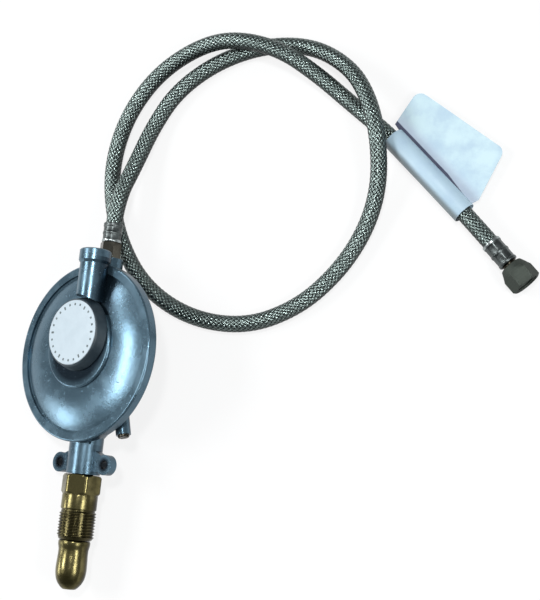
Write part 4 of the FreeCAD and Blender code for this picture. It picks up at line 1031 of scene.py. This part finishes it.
def braid_relief(turn, distance):
    """How far the top strand stands out, between 0 and 1, at a place on the hose."""
    a = STRANDS * turn + distance / BRAID_PITCH
    b = STRANDS * turn - distance / BRAID_PITCH
    across_a, across_b = a % 1.0 - 0.5, b % 1.0 - 0.5
    first_on_top = (np.floor(a) + np.floor(b)) % 2 < 0.5
    across = np.where(first_on_top, across_a, across_b)
    along = np.where(first_on_top, across_b, across_a)
    return (1.0 - CROWN * across**2) * np.cos(np.pi * along)


def turned_frames(points):
    """Two directions square to the line at each point, carried along without twist."""
    tangents = np.gradient(points, axis=0)
    tangents /= np.linalg.norm(tangents, axis=1)[:, None]
    side = np.cross(tangents[0], (0, 0, 1))
    sides = []
    for tangent in tangents:
        side = side - tangent * side.dot(tangent)
        side = side / np.linalg.norm(side)
        sides.append(side)
    sides = np.array(sides)
    return sides, np.cross(tangents, sides)


def braid_rings():
    """The tube's points, ring by ring."""
    sides, ups = turned_frames(line_points)
    turns = np.arange(SIDES) / SIDES
    relief = braid_relief(turns[None, :], line_distance[:, None])
    reach = (HOSE_RADIUS - BRAID_RELIEF * (1.0 - relief))[:, :, None]
    angle = FULL_TURN * turns[None, :, None]
    outward = np.cos(angle) * sides[:, None, :] + np.sin(angle) * ups[:, None, :]
    return line_points[:, None, :] + reach * outward


def make_hose():
    """The tube, with a flat map of turns round the hose and metres along it."""
    ring, column = np.meshgrid(np.arange(len(line_points) - 1), np.arange(SIDES), indexing="ij")
    rings = np.stack([ring, ring, ring + 1, ring + 1], axis=-1).reshape(-1, 4)
    columns = np.stack([column, column + 1, column + 1, column], axis=-1).reshape(-1, 4)
    mesh = bpy.data.meshes.new("hose_braid")
    mesh.from_pydata(braid_rings().reshape(-1, 3), [], rings * SIDES + columns % SIDES)
    mesh.shade_smooth()
    weave = mesh.uv_layers.new(name="weave")
    places = np.stack([columns / SIDES, line_distance[rings]], axis=-1)
    weave.data.foreach_set("uv", places.ravel())
    return add_object("hose_braid", mesh)


hose = make_hose()
print("hose faces", len(hose.data.polygons))

# %% [markdown]
# The braid's finish repeats the rule with Math nodes. It is a group, because a close look at any
# braided sleeve needs the same two masks: how high the strand is, and where its wires lie.

# %% The braid's finish
BRAID_GAP = (0.012, 0.014, 0.014, 1)
BRAID_DULL = (0.05, 0.07, 0.066, 1)
BRAID_BRIGHT = (0.34, 0.42, 0.4, 1)
BRAID_SHADE_SPAN = (0.1, 0.92)


def braid_masks(vector, strands, pitch, wires):
    place = add_node(vector.tree, "SeparateXYZ", {0: vector})
    around = place["X"] * strands
    along = place["Y"] / pitch
    a, b = around + along, around - along
    across_a, across_b = a % 1.0 - 0.5, b % 1.0 - 0.5
    first_on_top = maths("LESS_THAN", (maths("FLOOR", a) + maths("FLOOR", b)) % 2.0, 0.5)
    other = 1.0 - first_on_top
    across = across_a * first_on_top + across_b * other
    length = across_b * first_on_top + across_a * other
    lift = (1.0 - across * across * CROWN) * maths("COSINE", length * math.pi)
    return {"Lift": lift, "Wire": maths("COSINE", across * wires * FULL_TURN) * 0.5 + 0.5}


BRAID = make_group(
    "braid", {"Vector": None, "Strands": 12.0, "Pitch": 0.0033, "Wires": 5.0}, braid_masks
)


def make_braid_finish():
    finish = Finish("braid", 0.34, metallic=1.0)
    weave = add_node(finish.tree, "UVMap", uv_map="weave")
    strand = finish.effect(BRAID, Vector=weave, Strands=STRANDS, Pitch=BRAID_PITCH, Wires=WIRES)
    patches = finish.effect(HANDLING, Patch_scale=200.0)["Patches"]
    shine = strand["Wire"] * 0.55 + 0.45 - patches * 0.25
    metal = mix(shine, BRAID_DULL, BRAID_BRIGHT)
    colour = mix(strand["Lift"].step(0.2, 0.72), BRAID_GAP, metal)
    # Painted shade, in the gaps' colour, where the braid faces the ground.
    finish.colour(finish.shaded_below(colour, BRAID_GAP, 0.92, BRAID_SHADE_SPAN))
    finish.vary_roughness(patches, 0.2, 0.36)
    finish.bump(strand["Lift"] + strand["Wire"] * 0.3, 0.6, 0.25)
    return finish.material


hose.data.materials.append(make_braid_finish())
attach(hose, "regulator")
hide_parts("hose")

# %% [markdown]
# The tag is one strip of pale film, folded round the hose and pressed together beside it. The
# sleeve is an open tube with a thin double wall. The flag is a thin sheet that follows the
# outline which the real tag was cut to, with round corners.

# %% The tag's flag
TAG_START = Vector((0.1777, 0.1791, 0.0076))
TAG_END = Vector((0.2251, 0.1325, 0.0076))
FLAG_ARC = 5.5
FLAG_INNER = [(12.0, 65.6), (5.5, 63.5), (5.5, 4.0), (7.0, -7.0)]
FLAG_CORNERS = [((27.6, -12.4), (33.6, -8.2)), ((43.6, 47.0), (40.2, 54.5))]
ARC_STEPS = 6
FILM_HALF = 0.22
EDGE_SHARE = 0.55
FLAG_COLUMNS = 44
WIDEST_STRIP = 2.5


def tag_frame():
    """Its Z along the hose, its X out to the flag and its Y up."""
    along = (TAG_END - TAG_START).normalized()
    return frame_matrix(TAG_START, Vector((0, 0, 1)).cross(along), along)


def corner_arc(start, end):
    """Points on a round corner that turns left from start to end."""
    start, end = Vector(start), Vector(end)
    chord = end - start
    left = Vector((-chord.y, chord.x)).normalized()
    centre = (start + end) / 2 + left * math.sqrt(FLAG_ARC**2 - (chord.length / 2) ** 2)
    first = math.atan2(start.y - centre.y, start.x - centre.x)
    last = math.atan2(end.y - centre.y, end.x - centre.x)
    sweep = (last - first) % FULL_TURN
    angles = [first + sweep * step / ARC_STEPS for step in range(ARC_STEPS + 1)]
    return [centre + FLAG_ARC * Vector((math.cos(angle), math.sin(angle))) for angle in angles]


def flag_outline():
    """The flag as it was cut: distances out from the hose and along it, in millimetres."""
    outline = [Vector(point) for point in FLAG_INNER]
    for start, end in FLAG_CORNERS:
        outline += corner_arc(start, end)
    return outline


def flag_edges(outline, out):
    """Where a line at a distance out from the hose enters and leaves the flag's outline."""
    crossings = []
    for a, b in zip(outline, outline[1:] + outline[:1]):
        if (a.x - out) * (b.x - out) < 0:
            crossings.append(a.y + (b.y - a.y) * (out - a.x) / (b.x - a.x))
    return min(crossings), max(crossings)


def flag_places(outline):
    """Distances out from the hose: one just past each corner, and more in the wide strips."""
    corners = sorted({round(point.x, 1) for point in outline})
    places = []
    for near, far in zip(corners, corners[1:]):
        parts = max(1, math.ceil((far - near) / WIDEST_STRIP))
        places += [near + (far - near) * (part + 0.1) / parts for part in range(parts)]
    return places + [max(point.x for point in outline) - 0.02]


def flag_height(out, length):
    """Height over the hose's middle: the flag droops near the hose and has a soft wave."""
    wave = 0.3 * math.sin(length / 11.0 + 0.6) * (out - 5.5) / 40.0
    return -3.4 + 0.035 * out + wave


def flag_faces(rows):
    """The quads of both layers, and of the edge that closes them."""
    width = FLAG_COLUMNS + 1
    size = (rows + 1) * width
    faces = []
    for row in range(rows):
        for column in range(FLAG_COLUMNS):
            a = row * width + column
            quad = (a, a + 1, a + width + 1, a + width)
            faces.append(quad)
            faces.append(tuple(corner + size for corner in reversed(quad)))
    border = list(range(width))
    border += [row * width + FLAG_COLUMNS for row in range(1, rows + 1)]
    border += [rows * width + column for column in range(FLAG_COLUMNS - 1, -1, -1)]
    border += [row * width for row in range(rows - 1, 0, -1)]
    for a, b in zip(border, border[1:] + border[:1]):
        faces.append((b, a, a + size, b + size))
    return faces


def make_flag():
    """The two pressed layers as points and faces, and where each point lies on the flat film."""
    outline = flag_outline()
    places = flag_places(outline)
    place = tag_frame()
    vertices, spots = [], []
    for layer in (-1, 1):
        for out in places:
            low, high = flag_edges(outline, out)
            for column in range(FLAG_COLUMNS + 1):
                share = 0.5 - 0.5 * math.cos(math.pi * column / FLAG_COLUMNS)
                length = low + (high - low) * share
                at_edge = out == places[-1] or column in (0, FLAG_COLUMNS)
                half = FILM_HALF * (EDGE_SHARE if at_edge else 1.0)
                point = Vector((out, flag_height(out, length) + layer * half, length))
                vertices.append(place @ (point * MM))
                spots.append((out, length))
    return vertices, flag_faces(len(places) - 1), spots


print("flag rows", len(flag_places(flag_outline())))

# %% [markdown]
# The sleeve is drawn tighter on the side where the film leaves the hose. Each of its points
# also gets a place on the flat film, left of the flag's own, so that one finish serves both.

# %% The tag's sleeve
TAG_RADIUS = 7.35
TAG_LENGTH = 66.5
SLEEVE_SEGMENTS = 72
SLEEVE_SPOT = 20.0
PULL_ANGLE = math.radians(26)
SLEEVE_OUTLINE = [
    (TAG_RADIUS - 0.5, 0.3), (TAG_RADIUS - 0.2, 0.0), (TAG_RADIUS, 0.4),
    (TAG_RADIUS - 0.12, TAG_LENGTH / 2), (TAG_RADIUS, TAG_LENGTH - 0.4),
    (TAG_RADIUS - 0.2, TAG_LENGTH), (TAG_RADIUS - 0.5, TAG_LENGTH - 0.3),
]


def make_sleeve():
    """The film round the hose, open at both ends."""
    place = tag_frame()
    vertices, spots = [], []
    for radius, length in SLEEVE_OUTLINE:
        for step in range(SLEEVE_SEGMENTS):
            angle = FULL_TURN * step / SLEEVE_SEGMENTS
            reach = radius + 0.15 * max(0.0, math.cos(angle + PULL_ANGLE)) ** 12
            vertices.append(place @ polar(reach, angle, length))
            spots.append((reach * math.cos(angle) - SLEEVE_SPOT, length))
    return vertices, ring_faces(len(SLEEVE_OUTLINE), SLEEVE_SEGMENTS, closed=True), spots


print("sleeve", TAG_LENGTH, "mm long")

# %% [markdown]
# The film is milky and cool. Painted shadow runs along the crease where the flag leaves the hose, and tapers off.
# On the sleeve's other side, away from the flag, the film has painted shade.

# %% The tag
FILM_WHITE = (0.52, 0.69, 0.75, 1)
FILM_COOL = (0.42, 0.57, 0.68, 1)
FILM_FOLD_SHADE = (0.44, 0.53, 0.64, 1)
FILM_SLEEVE = (0.36, 0.5, 0.63, 1)
FILM_FAR_SHADE = (0.13, 0.145, 0.14, 1)
CREASE_SHADOW = (0.03, 0.04, 0.09, 1)
CREASE_EDGE = 9.9
CREASE_TURN = 40.0
CREASE_TAPER = 0.11


def make_film():
    finish = Finish("film", 0.5)
    patches = finish.effect(HANDLING, Patch_scale=70.0)["Patches"]
    sheet = add_node(finish.tree, "UVMap", uv_map="sheet")
    spot = add_node(finish.tree, "SeparateXYZ", {0: sheet})
    out, along = spot["X"], spot["Y"]
    on_flag = maths("GREATER_THAN", out, 0.0)
    on_sleeve = 1.0 - on_flag
    # Painted shade on the flag near the fold.
    near_fold_shade = 1.0 - out.step(9.0, 18.0)
    # Painted shadow along the crease, tapering off along the hose.
    edge = CREASE_EDGE - maths("MAXIMUM", along - CREASE_TURN, 0.0) * CREASE_TAPER
    crease_shadow = (edge - out).step(0.0, 0.5)
    # Painted shade on the sleeve's side away from the flag.
    far_side_shade = 1.0 - (out + SLEEVE_SPOT).step(-6.4, -3.4)
    film = mix(patches, FILM_WHITE, FILM_COOL)
    film = mix(near_fold_shade * on_flag, film, FILM_FOLD_SHADE)
    film = mix(crease_shadow * on_flag, film, CREASE_SHADOW)
    film = mix(on_sleeve * 0.6, film, FILM_SLEEVE)
    finish.colour(mix(far_side_shade * on_sleeve * 0.8, film, FILM_FAR_SHADE))
    finish.vary_roughness(patches, 0.44, 0.58)
    finish.bump(finish.effect(CAST_GRAIN, Scale=900.0)["Peel"], 0.25, 0.12)
    return finish.material


def make_tag():
    vertices, faces, spots = make_sleeve()
    flag_vertices, flag_quads, flag_spots = make_flag()
    shift = len(vertices)
    faces += [tuple(corner + shift for corner in face) for face in flag_quads]
    vertices, spots = vertices + flag_vertices, spots + flag_spots
    tag = finish_mesh("tag_film", vertices, faces, make_film(), "regulator", sharp=60)
    sheet = tag.data.uv_layers.new(name="sheet")
    for loop in tag.data.loops:
        sheet.data[loop.index].uv = spots[loop.vertex_index]
    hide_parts("tag")
    return tag


tag = make_tag()
